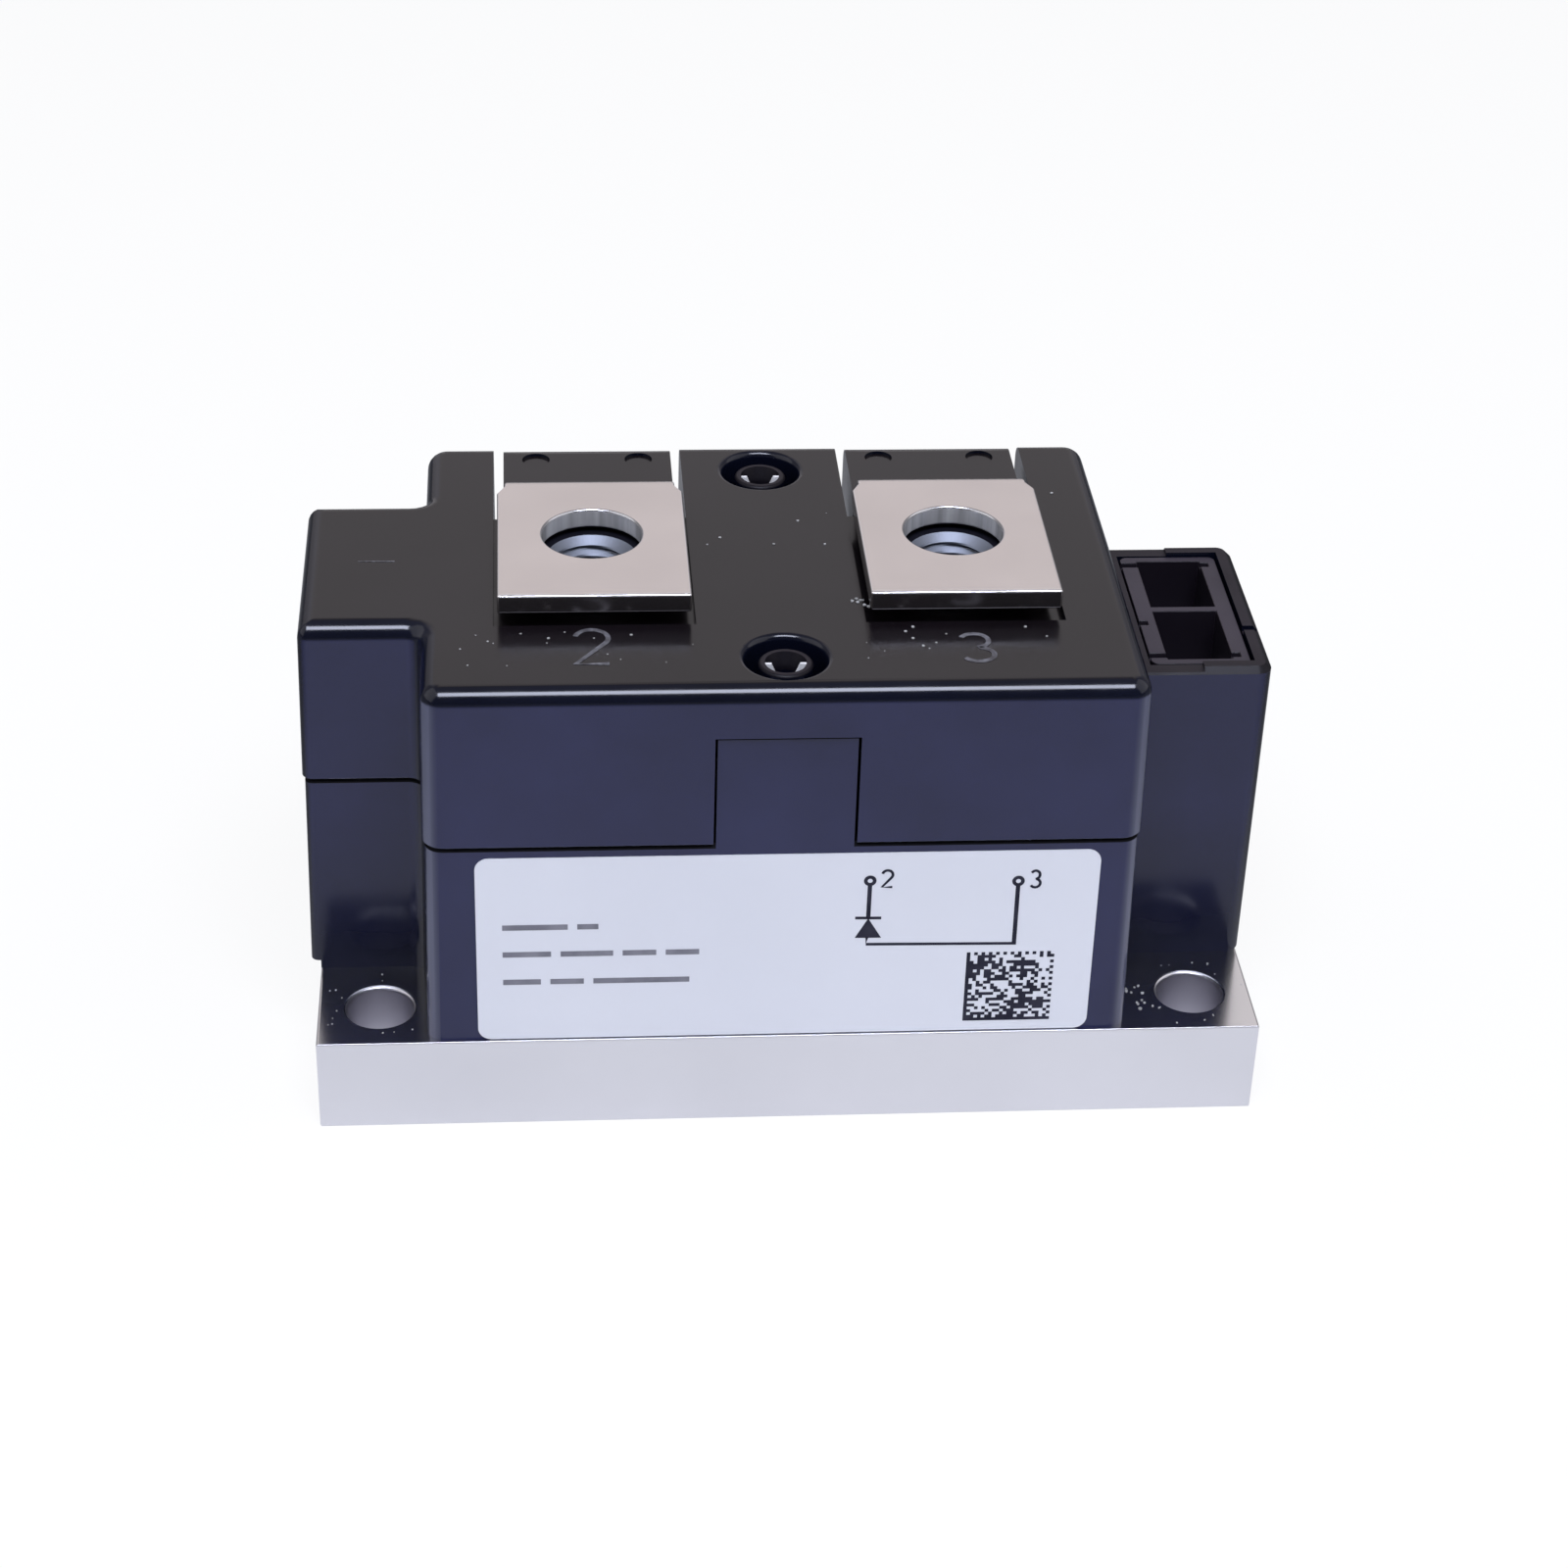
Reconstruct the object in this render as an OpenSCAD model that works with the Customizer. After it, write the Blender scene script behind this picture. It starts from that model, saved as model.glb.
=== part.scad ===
// Single-diode power module: a plated copper base plate carries a bonded substrate and the
// diode stack, a two-part moulded housing closes over them, and two bolt-on strip terminals
// are folded forward over captive nuts in the housing's top.
// Millimetres, +Z up, +Y to the back. The origin is the middle of the heat-sink face.

/* [Base plate] */
// Length of the base plate along X
base_length = 92; // [90:0.5:110]
// Width of the base plate along Y
base_width = 50; // [50:0.5:60]
// Thickness of the base plate
base_thickness = 10; // [6:0.5:15]
// Distance of the mounting holes' axes from the plate's edges
hole_edge = 6; // [5:0.1:7]
// Diameter of the mounting holes
hole_d = 6.4; // [5:0.1:7]
// Chamfer at both mouths of the mounting holes
hole_chamfer = 0.4; // [0.1:0.05:0.5]

/* [Housing] */
// Length of base plate left free between its left end and the main body
left_ledge = 10.4; // [10:0.05:12]
// Length of base plate left free between the main body and its right end
right_ledge = 13.05; // [12:0.05:15]
// Width of the main body where it meets the base plate
body_width = 49.7; // [48:0.1:50]
// Height of the housing above the base plate
housing_height = 39; // [36:0.5:45]
// How far the ends lean in from bottom to top
end_draft_depth = 0.6; // [0:0.05:1.2]
// How far the long sides lean in from bottom to top
side_draft_depth = 0.5; // [0:0.05:2]
// Radius of the main body's upright corners
corner_r = 2; // [1.5:0.1:3]
// Radius of the moulded edge round the top
top_fillet = 1.7; // [0.4:0.1:2]
// Wall thickness of frame and cover
wall = 2.4; // [2:0.1:3]
// Thickness of the cover's top wall
top_wall = 3; // [2:0.1:4]
// Height of the cover, from the parting line to the housing's top
cover_height = 17; // [16:0.5:21]
// How far the cover stands out past the frame at the parting line
cover_lip = 0.25; // [0.1:0.05:0.4]
// Chamfer along the cover's lower edge
seam_chamfer = 0.3; // [0.1:0.05:0.5]
// Chamfer along the frame's upper edge, the lower flank of the parting groove
seam_groove = 0.4; // [0.1:0.05:0.6]
// Width of the frame's front tongue
front_tongue_width = 13; // [8:0.5:16]
// Height of the front tongue above the parting line
front_tongue_rise = 11.5; // [6:0.5:12]
// Gap between the front tongue and the cover's notch
tongue_gap = 0.25; // [0.1:0.05:0.5]

/* [End block] */
// How far the left end block stands out past the base plate, at its foot
end_block_overhang = 1.2; // [0:0.05:1.5]
// Height above the base plate at which the overhang starts
end_block_rise = 0.9; // [0.2:0.1:2]
// Width of the left end block where it meets the base plate
end_block_width = 25.2; // [20:0.2:25.6]
// Radius of the end block's upright corners
end_block_r = 1; // [0.5:0.1:2.5]
// Radius of the inner corners where the end block joins the body
end_block_blend = 1.6; // [0.5:0.1:2.5]

/* [Socket block] */
// How far the right socket block stands out past the base plate
socket_overhang = 0.3; // [0:0.05:1]
// Width of the socket block
socket_width = 24.6; // [22:0.2:25]
// Height of the socket block above the base plate
socket_height = 33.3; // [28:0.1:34]
// Radius of the socket block's upright corners
socket_corner_r = 1.5; // [0.8:0.1:2]
// Chamfer along the socket block's upper edge
socket_edge = 0.6; // [0.2:0.1:1]
// Thickness of the socket block's outer walls
socket_wall = 1.6; // [1:0.1:2]
// How far the inner half of the rim lies below the outer half
rim_step = 0.4; // [0.1:0.1:1]
// Height of the socket insert
insert_height = 7; // [6.5:0.1:9]
// Width of the insert's two long strips
insert_strip = 1.7; // [1.2:0.1:2.2]
// Thickness of the insert's cross walls
insert_cross_wall = 0.9; // [0.6:0.1:1.2]
// Depth of the two socket pockets
pocket_depth = 5.6; // [4.5:0.1:6]
// Gap round the socket insert
insert_gap = 0.2; // [0.1:0.05:0.4]
// Width of the small notches in the rim and the insert
notch_width = 0.8; // [0.4:0.1:1.2]
// Depth of the small notches
notch_depth = 0.6; // [0.3:0.1:1]
// Distance of the rim's notch from the block's front face
rim_notch_y = 7.4; // [4:0.1:12]
// Radius of the insert's outer corners
insert_r = 0.8; // [0.4:0.1:1.2]

/* [Terminals] */
// Spacing of the two terminals
terminal_pitch = 35; // [33:0.5:36]
// Gap between the housing's top and the underside of the tabs
tab_gap = 1; // [0.5:0.1:3]
// Thickness of the terminal strips
strip_thickness = 2; // [1.5:0.1:2.4]
// Width of the bolt-on tabs
tab_width = 18.2; // [16:0.1:19]
// Distance from the bolt hole's axis to the tab's free edge
tab_front = 12; // [9:0.1:12]
// Diameter of the bolt hole in a tab
tab_hole_d = 9.6; // [8.4:0.1:10.5]
// Distance from the bolt hole's axis to the leg's back face
leg_setback = 12.45; // [11.8:0.05:13]
// Width of the legs
leg_width = 16.8; // [12:0.1:17]
// Inner radius of the strips' bends
bend_inner_r = 0.6; // [0.3:0.1:1]
// Length of the feet on the substrate
foot_length = 7; // [5:0.1:8]
// Clearance round a leg where it passes the cover
leg_clearance = 0.15; // [0.1:0.05:0.3]

/* [Terminal wells] */
// Width of the slot that a terminal passes through
slot_width = 19; // [18.6:0.1:20]
// Distance from the bolt hole's axis to the well's front edge
well_front = 12.4; // [12.2:0.1:13]
// Depth of the well under a tab
well_depth = 1; // [0.4:0.1:1.5]
// Width of the frame's tongue behind a leg
back_tongue_width = 17; // [14:0.1:18]
// Depth below the parting line to which a back tongue's root reaches
tongue_root = 6; // [3:0.5:10]
// Diameter of the dimples in a back tongue's top
dimple_d = 2.8; // [2:0.1:3.5]
// Depth of the dimples
dimple_depth = 0.3; // [0.2:0.1:1.5]
// Spacing of the two dimples on a tongue
dimple_pitch = 10.4; // [6:0.1:12]
// Distance from the dimples' axes to the body's back edge
dimple_inset = 3.3; // [2:0.1:4]

/* [Nuts] */
// Width of a nut across its flats
nut_flats = 13; // [12:0.1:14]
// Height of a nut
nut_height = 6.5; // [5:0.1:8]
// Diameter inside a nut's thread
nut_bore_d = 6.8; // [6:0.1:7]
// Depth of the countersunk mouths of a nut's thread
nut_countersink = 1; // [0.3:0.1:1.2]
// Gap between a nut's top and the tab's underside
nut_drop = 0.6; // [0.3:0.1:2.5]
// Clearance round a nut in its pocket
nut_clearance = 0.2; // [0.1:0.05:0.4]
// Depth of the bolt's room below a nut
bolt_room = 6; // [3:0.5:7]
// Diameter of the bolt's room
bolt_room_d = 9; // [8.4:0.1:10]

/* [Cover posts] */
// Distance of the two post recesses from the body's long faces, where it meets the base plate
post_inset = 6.35; // [6.2:0.05:7.5]
// Diameter of the recess round a post
recess_d = 7.7; // [7.2:0.1:7.9]
// Radius of the recess's rounded mouth
recess_round = 0.6; // [0.1:0.05:0.7]
// Depth of the recess
recess_depth = 8; // [5:0.5:9]
// Diameter of a post
post_d = 5.2; // [4.8:0.1:5.4]
// Radius of the rounded edge of a post's end
post_round = 0.35; // [0.1:0.05:0.4]
// Bore of a post
post_bore_d = 2.5; // [2:0.1:3]
// Depth of the bore
post_bore_depth = 7; // [4:0.5:9]
// Widest diameter of the bore's tapered mouth
post_mouth_d = 3.9; // [3.2:0.1:4]
// Depth of the bore's tapered mouth
post_mouth_depth = 1.6; // [0.5:0.1:2]
// How far a post's end lies below the housing's top
post_drop = 0.6; // [0.4:0.1:2]
// Clearance round a post in the cover
post_clearance = 0.1; // [0.05:0.05:0.2]
// Diameter of the shoulder that carries the cover
post_shoulder_d = 6.2; // [5.8:0.1:6.3]
// Thickness of the cover's floor under a recess
recess_floor = 2; // [1.5:0.1:3]

/* [Substrate and diode] */
// Gap between the frame and each end of the bonded substrate
substrate_gap = 3; // [2:0.1:5]
// Width of the bonded substrate
substrate_width = 32; // [30:0.5:36]
// Thickness of the solder under the substrate
solder_thickness = 0.2; // [0.1:0.05:0.4]
// Thickness of the substrate's copper faces
copper_thickness = 0.4; // [0.2:0.05:0.6]
// Thickness of the ceramic
ceramic_thickness = 1; // [0.6:0.1:1.5]
// Margin of bare ceramic round the copper
copper_margin = 1; // [0.5:0.1:2]
// Width of the bare strip between the two lands
land_gap = 3; // [2:0.1:4]
// Length of the anode land
anode_land_length = 19; // [18.5:0.1:20]
// Edge length of the diode chip
chip_size = 18; // [12:0.5:18]
// Thickness of the diode chip
chip_thickness = 0.5; // [0.3:0.05:0.8]
// Thickness of the molybdenum plates
moly_thickness = 1.5; // [0.8:0.1:2]
// How far the upper molybdenum plate stays inside the chip's edge
moly_inset = 2; // [1:0.1:3]
// Gap between the chip stack and the terminal's foot
chip_gap = 1; // [0.5:0.1:2]
// Thickness of the anode clip
clip_thickness = 1.5; // [1:0.1:2]
// Width of the anode clip
clip_width = 12; // [8:0.5:13]

/* [Sealing and label] */
// Height of the soft gel above the base plate
gel_height = 11; // [9:0.5:13]
// Thickness of the hard resin over the gel
resin_thickness = 6; // [2:0.5:8]
// Width of the sealing bead under the frame
bead_width = 1; // [0.6:0.1:1.3]
// Height of the sealing bead
bead_height = 0.8; // [0.4:0.1:1.2]
// Distance of the label's left end from the body's left end
label_left_margin = 5.2; // [3:0.1:10]
// Distance of the label's right end from the body's right end
label_right_margin = 4.2; // [3:0.1:10]
// Gap between the label's upper edge and the parting line
label_gap = 1.1; // [0.5:0.1:6]
// Radius of the label's corners
label_r = 1.3; // [0.5:0.1:2]
// Thickness of the label
label_thickness = 0.15; // [0.1:0.05:0.3]
// Distance of the label's lower edge from the base plate
label_foot = 0.1; // [0.1:0.1:1]

/* [Hidden] */
$fn = 64;

// Overlap of cutting solids past the faces that they open
cut = 1;
// Steps of one rounded corner and of the top edge's fillet
corner_steps = 6;
fillet_steps = 6;
// Smallest radius that a corner keeps where the top edge's fillet runs into it
least_r = 0.05;

// Heights above the heat-sink face
base_top = base_thickness;
seam_height = housing_height - cover_height;
seam_z = base_top + seam_height;
housing_top = base_top + housing_height;
tab_bottom = housing_top + tab_gap;
tab_top = tab_bottom + strip_thickness;
socket_top = base_top + socket_height;
insert_floor = socket_top - rim_step - insert_height;
pocket_floor = socket_top - rim_step - pocket_depth;
nut_top = tab_bottom - nut_drop;
nut_bottom = nut_top - nut_height;
bolt_room_floor = nut_bottom - bolt_room;
nut_block_floor = bolt_room_floor - wall / 2;
post_top = housing_top - post_drop;
recess_bottom = housing_top - recess_depth;
shoulder_z = recess_bottom - recess_floor;
ceiling_z = housing_top - top_wall;
tongue_root_z = seam_z - tongue_root;
gel_top = base_top + gel_height;
resin_top = gel_top + resin_thickness;

// Layers of the substrate and the diode stack
back_copper_z = base_top + solder_thickness;
ceramic_z = back_copper_z + copper_thickness;
land_z = ceramic_z + ceramic_thickness;
land_top = land_z + copper_thickness;
chip_z = land_top + moly_thickness;
upper_moly_z = chip_z + chip_thickness;
clip_z = upper_moly_z + moly_thickness;

// Plan of the base plate and the housing
hole_pitch_x = base_length - 2 * hole_edge;
hole_pitch_y = base_width - 2 * hole_edge;
body_left = left_ledge - base_length / 2;
body_right = base_length / 2 - right_ledge;
body_length = body_right - body_left;
housing_offset = (body_left + body_right) / 2;
end_block_left = -base_length / 2 - end_block_overhang;
socket_right = base_length / 2 + socket_overhang;
cavity_length = body_length - 2 * wall - 2 * end_draft_depth;
cavity_width = body_width - 2 * wall - 2 * side_draft_depth;
cavity_r = corner_r / 2;

// The terminals' places
leg_back = leg_setback;
leg_front = leg_setback - strip_thickness;
slot_front = leg_front - leg_clearance;
foot_front = leg_back - foot_length;
terminal_x = [housing_offset - terminal_pitch / 2, housing_offset + terminal_pitch / 2];
post_y = body_width / 2 - post_inset;
post_places = [[housing_offset, -post_y], [housing_offset, post_y]];

// The substrate, the lands and the chip on them
substrate_length = cavity_length - 2 * substrate_gap;
copper_length = substrate_length - 2 * copper_margin;
copper_width = substrate_width - 2 * copper_margin;
copper_left = housing_offset - copper_length / 2;
copper_right = housing_offset + copper_length / 2;
cathode_land_length = copper_length - anode_land_length - land_gap;
chip_x = copper_left + cathode_land_length - chip_size / 2 - copper_margin;
chip_y = foot_front - chip_gap - chip_size / 2;

// The socket insert's outline
insert_left = body_right + socket_wall;
insert_right = socket_right - socket_wall;
insert_half_width = socket_width / 2 - socket_wall;

housing_black = [0.23, 0.22, 0.24];
plated_copper = [0.80, 0.78, 0.78];
nickel = [0.82, 0.82, 0.85];
bare_copper = [0.72, 0.45, 0.30];
zinc = [0.62, 0.68, 0.78];

// Inset of the drafted walls at a height above the base plate
function end_inset(h) = end_draft_depth * h / housing_height;
function side_inset(h) = side_draft_depth * h / housing_height;

// The housing's plan as corners, anticlockwise: place, inward signs, 1 for an outer corner or -1
// for an inner one, start angle and radius
function plan_corners() = let (w = body_width / 2, b = end_block_width / 2) [
    [body_right, -w, -1, 1, 1, -90, corner_r],
    [body_right, w, -1, -1, 1, 0, corner_r],
    [body_left, w, 1, -1, 1, 90, corner_r],
    [body_left, b, 1, -1, -1, 0, end_block_blend],
    [end_block_left, b, 1, -1, 1, 90, end_block_r],
    [end_block_left, -b, 1, 1, 1, 180, end_block_r],
    [body_left, -b, 1, 1, -1, 90, end_block_blend],
    [body_left, -w, 1, 1, 1, 180, corner_r]];

// One level of the housing: all rounded corners, drafted to height h and set in by extra
function plan_ring(h, extra) = [
    for (c = plan_corners())
        let (x = c[0] + c[2] * (end_inset(h) + extra),
             y = c[1] + c[3] * (side_inset(h) + extra),
             r = max(c[6] - c[4] * extra, least_r))
        for (i = [0 : corner_steps])
            let (a = c[5] + c[4] * 90 * i / corner_steps)
            [x + c[4] * c[2] * r + r * cos(a), y + c[4] * c[3] * r + r * sin(a), base_top + h]];

// Heights and insets of the rounded top edge's levels, with a last one past the top
function top_levels(extra) = concat(
    [for (i = [0 : fillet_steps])
        let (a = 90 * i / fillet_steps)
        [housing_height - top_fillet * (1 - sin(a)), extra + top_fillet * (1 - cos(a))]],
    [[housing_height + cut, extra + top_fillet]]);

// A closed solid through a list of levels, each a height above the base plate and an inset
module plan_loft(levels) {
    rings = [for (level = levels) plan_ring(level[0], level[1])];
    points = [for (ring = rings) each ring];
    n = len(rings[0]);
    last = len(rings) - 1;
    bottom = [for (i = [0 : n - 1]) i];
    top = [for (i = [n - 1 : -1 : 0]) last * n + i];
    sides = [for (k = [0 : last - 1]) for (i = [0 : n - 1])
        [k * n + i, (k + 1) * n + i, (k + 1) * n + (i + 1) % n, k * n + (i + 1) % n]];
    polyhedron(points, concat([bottom, top], sides), convexity = 6);
}

// A box from its lowest corner to its highest
module span(low, high) {
    translate(low) cube(high - low);
}

// A rounded rectangle about the origin
module rounded_rectangle(length, width, r) {
    square([length - 2 * r, width], center = true);
    square([length, width - 2 * r], center = true);
    for (sx = [-1, 1]) for (sy = [-1, 1])
        translate([sx * (length / 2 - r), sy * (width / 2 - r)]) circle(r);
}

// A quarter ring for a strip's bend, in the first quadrant
module quarter_ring(inner, thickness) {
    intersection() {
        difference() {
            circle(inner + thickness);
            circle(inner);
        }
        square(inner + thickness);
    }
}

// The room between two heights, wider than the housing
module storey(low, high) {
    span([end_block_left - cut, -body_width, low], [socket_right, body_width, high]);
}

// The frame's outer form, from the base plate to the parting line
module frame_form() {
    intersection() {
        plan_loft([[-cut, cover_lip], [seam_height - seam_groove, cover_lip],
                   [seam_height + cut, cover_lip + seam_groove + cut]]);
        storey(base_top, seam_z);
    }
}

// The form that the frame's tongues fill, up to the rounded top edge
module tongue_form() {
    intersection() {
        plan_loft(concat([[-cut, cover_lip]], top_levels(cover_lip)));
        storey(base_top, housing_top);
    }
}

// The cover's outer form, from its chamfered lower edge to the rounded top edge
module cover_form() {
    below = cut / 2;
    intersection() {
        plan_loft(concat([[seam_height - below, seam_chamfer + below],
                          [seam_height + seam_chamfer, 0]], top_levels(0)));
        storey(seam_z, housing_top);
    }
}

// The room inside the frame and the cover
module cavity(low, high) {
    translate([housing_offset, 0, low])
        linear_extrude(high - low) rounded_rectangle(cavity_length, cavity_width, cavity_r);
}

// The room inside the left end block
module end_cavity(low, high) {
    span([end_block_left + wall + end_draft_depth, -end_block_width / 2 + wall + side_draft_depth, low],
         [body_left - wall, end_block_width / 2 - wall - side_draft_depth, high]);
}

// A tapered hole for the two mouths of a mounting hole
module mounting_hole() {
    r = hole_d / 2;
    rotate_extrude()
        polygon([[0, -cut], [r + hole_chamfer, -cut], [r + hole_chamfer, 0], [r, hole_chamfer],
                 [r, base_thickness - hole_chamfer], [r + hole_chamfer, base_thickness],
                 [r + hole_chamfer, base_thickness + cut], [0, base_thickness + cut]]);
}

module base_plate() {
    color(nickel) difference() {
        translate([0, 0, base_thickness / 2])
            cube([base_length, base_width, base_thickness], center = true);
        for (sx = [-1, 1]) for (sy = [-1, 1])
            translate([sx * hole_pitch_x / 2, sy * hole_pitch_y / 2, 0]) mounting_hole();
    }
}

// The plan of the bead's outer edge, in a groove under the frame round the cavity
module bead_plan() {
    rounded_rectangle(cavity_length + 2 * bead_width, cavity_width + 2 * bead_width,
                      cavity_r + bead_width);
}

module base_seal() {
    color([0.75, 0.75, 0.72]) translate([housing_offset, 0, base_top])
        linear_extrude(bead_height) difference() {
            bead_plan();
            rounded_rectangle(cavity_length, cavity_width, cavity_r);
        }
}

// A flat layer about the housing's middle
module layer(length, width, z, thickness) {
    translate([housing_offset, 0, z + thickness / 2])
        cube([length, width, thickness], center = true);
}

module substrate_solder() {
    color([0.66, 0.67, 0.69]) layer(copper_length, copper_width, base_top, solder_thickness);
}

module substrate_back_copper() {
    color(bare_copper) layer(copper_length, copper_width, back_copper_z, copper_thickness);
}

module substrate_ceramic() {
    color([0.93, 0.93, 0.90])
        layer(substrate_length, substrate_width, ceramic_z, ceramic_thickness);
}

module land(left, right) {
    color(bare_copper) span([left, -copper_width / 2, land_z], [right, copper_width / 2, land_top]);
}

module cathode_land() {
    land(copper_left, copper_left + cathode_land_length);
}

module anode_land() {
    land(copper_right - anode_land_length, copper_right);
}

// A square plate of the diode stack
module stack_plate(size, z, thickness) {
    translate([chip_x, chip_y, z + thickness / 2]) cube([size, size, thickness], center = true);
}

module lower_moly_plate() {
    color([0.55, 0.56, 0.58]) stack_plate(chip_size, land_top, moly_thickness);
}

module diode_chip() {
    color([0.30, 0.33, 0.38]) stack_plate(chip_size, chip_z, chip_thickness);
}

module upper_moly_plate() {
    color([0.55, 0.56, 0.58]) stack_plate(chip_size - 2 * moly_inset, upper_moly_z, moly_thickness);
}

// The clip lies on the upper plate, runs out level and steps down to the anode land
module anode_clip() {
    clip_left = chip_x - chip_size / 2 + moly_inset;
    step_left = copper_right - anode_land_length + copper_margin;
    step_right = step_left + clip_thickness;
    clip_right = terminal_x[1] + leg_width / 2;
    color(bare_copper) translate([0, chip_y + clip_width / 2, 0]) rotate([90, 0, 0])
        linear_extrude(clip_width)
            polygon([[clip_left, clip_z], [step_left, clip_z], [step_left, land_top],
                     [clip_right, land_top], [clip_right, land_top + clip_thickness],
                     [step_right, land_top + clip_thickness], [step_right, clip_z + clip_thickness],
                     [clip_left, clip_z + clip_thickness]]);
}

// Side view of a terminal strip: tab, bend, leg, bend and foot, with Y across and Z up
module strip_profile() {
    outer = bend_inner_r + strip_thickness;
    translate([-tab_front, tab_bottom]) square([tab_front + leg_back - outer, strip_thickness]);
    translate([leg_back - outer, tab_top - outer]) quarter_ring(bend_inner_r, strip_thickness);
    translate([leg_front, land_top + outer])
        square([strip_thickness, tab_top - land_top - 2 * outer]);
    translate([leg_back - outer, land_top + outer])
        mirror([0, 1]) quarter_ring(bend_inner_r, strip_thickness);
    translate([foot_front, land_top]) square([foot_length - outer, strip_thickness]);
}

// The wide part of a strip, seen from above: its back corners taper to the leg's width
module tab_outline() {
    taper = (tab_width - leg_width) / 2;
    shoulder = leg_front - bend_inner_r;
    polygon([[-tab_width / 2, -tab_front - cut], [tab_width / 2, -tab_front - cut],
             [tab_width / 2, shoulder - 2 * taper], [leg_width / 2, shoulder],
             [leg_width / 2, leg_back + cut], [-leg_width / 2, leg_back + cut],
             [-leg_width / 2, shoulder], [-tab_width / 2, shoulder - 2 * taper]]);
}

// A strip of one width, standing along its side view
module strip(width) {
    translate([-width / 2, 0, 0]) rotate([90, 0, 90]) linear_extrude(width) strip_profile();
}

module terminal(x) {
    color(plated_copper) translate([x, 0, 0]) difference() {
        union() {
            intersection() {
                strip(tab_width);
                translate([0, 0, tab_bottom - cut]) linear_extrude(tab_top) tab_outline();
            }
            intersection() {
                strip(leg_width);
                span([-leg_width, foot_front - cut, 0], [leg_width, leg_back + cut, tab_bottom]);
            }
        }
        translate([0, 0, tab_bottom - cut]) cylinder(d = tab_hole_d, h = strip_thickness + 2 * cut);
    }
}

module cathode_terminal() {
    terminal(terminal_x[0]);
}

module anode_terminal() {
    terminal(terminal_x[1]);
}

// What stands inside the frame, for the fills that flow round it
module inner_pieces() {
    base_seal();
    substrate_solder();
    substrate_back_copper();
    substrate_ceramic();
    cathode_land();
    anode_land();
    lower_moly_plate();
    diode_chip();
    upper_moly_plate();
    anode_clip();
    cathode_terminal();
    anode_terminal();
    back_tongue_roots();
    frame_posts();
}

module fill(low, high) {
    difference() {
        cavity(low, high);
        inner_pieces();
    }
}

module soft_gel() {
    color([0.80, 0.82, 0.80]) fill(base_top, gel_top);
}

module hard_resin() {
    color([0.16, 0.16, 0.17]) fill(gel_top, resin_top);
}

// The places of the frame's tongues behind the two legs
module back_tongue_span(low, high) {
    for (x = terminal_x)
        span([x - back_tongue_width / 2, leg_back, low],
             [x + back_tongue_width / 2, body_width / 2, high]);
}

module back_tongue_roots() {
    back_tongue_span(tongue_root_z, seam_z);
}

// The frame's tongues stand up into the cover, flush with the frame's outer face
module frame_tongues() {
    tongue_inner = -cavity_width / 2;
    difference() {
        intersection() {
            tongue_form();
            union() {
                back_tongue_span(tongue_root_z, housing_top + cut);
                span([housing_offset - front_tongue_width / 2, -body_width / 2, seam_z - cut],
                     [housing_offset + front_tongue_width / 2, tongue_inner,
                      seam_z + front_tongue_rise]);
            }
        }
        for (x = terminal_x) for (side = [-1, 1])
            translate([x + side * dimple_pitch / 2,
                       body_width / 2 - side_draft_depth - dimple_inset, housing_top - dimple_depth])
                cylinder(d = dimple_d, h = dimple_depth + cut);
    }
}

// Half section of a post from its root: the shoulder, the shank and the rounded end
module post_section() {
    shank = post_d / 2;
    translate([0, tongue_root_z]) square([post_shoulder_d / 2, shoulder_z - tongue_root_z]);
    translate([0, tongue_root_z]) square([shank, post_top - post_round - tongue_root_z]);
    translate([0, shoulder_z]) square([shank - post_round, post_top - shoulder_z]);
    translate([shank - post_round, post_top - post_round]) circle(post_round);
}

// Half section of a post's bore with its tapered mouth
module post_bore_section() {
    bore = post_bore_d / 2;
    mouth = post_mouth_d / 2;
    polygon([[0, post_top - post_bore_depth], [bore, post_top - post_bore_depth],
             [bore, post_top - post_mouth_depth], [mouth, post_top], [mouth, post_top + cut],
             [0, post_top + cut]]);
}

// Hollow posts on webs from the long walls: the shoulder carries the cover
module frame_posts() {
    for (place = post_places) {
        side = sign(place[1]);
        web = cavity_width / 2 - post_y + cut / 2;
        translate([place[0], place[1], 0]) difference() {
            union() {
                rotate_extrude() post_section();
                translate([-wall, side > 0 ? 0 : -web, tongue_root_z])
                    cube([2 * wall, web, tongue_root]);
            }
            rotate_extrude() post_bore_section();
        }
    }
}

// The socket block's plan from a left edge to its outer end
module socket_plan(left) {
    translate([(left + socket_right) / 2, 0])
        rounded_rectangle(socket_right - left, socket_width, socket_corner_r);
}

// The socket block above the parting line, with its upper edge chamfered
module socket_cap() {
    rise = socket_top - seam_z;
    left = body_right - socket_corner_r;
    hull() {
        linear_extrude(rise - socket_edge) socket_plan(left);
        linear_extrude(rise) offset(delta = -socket_edge) socket_plan(left);
    }
}

module socket_block() {
    cover_face = body_right + leg_clearance;
    rim_middle = (insert_left + insert_right) / 2;
    rim_notch_front = rim_notch_y - socket_width / 2;
    difference() {
        union() {
            translate([0, 0, base_top])
                linear_extrude(seam_height) socket_plan(body_right - wall - end_draft_depth);
            translate([0, 0, seam_z]) intersection() {
                socket_cap();
                span([cover_face, -socket_width, 0], [socket_right + cut, socket_width, tab_top]);
            }
        }
        span([insert_left, -insert_half_width, insert_floor],
             [insert_right, insert_half_width, socket_top + cut]);
        span([body_left, -socket_width, socket_top - rim_step],
             [rim_middle, socket_width, socket_top + cut]);
        span([insert_right - cut, rim_notch_front, socket_top - notch_depth],
             [socket_right + cut, rim_notch_front + notch_width, socket_top + cut]);
    }
}

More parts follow.
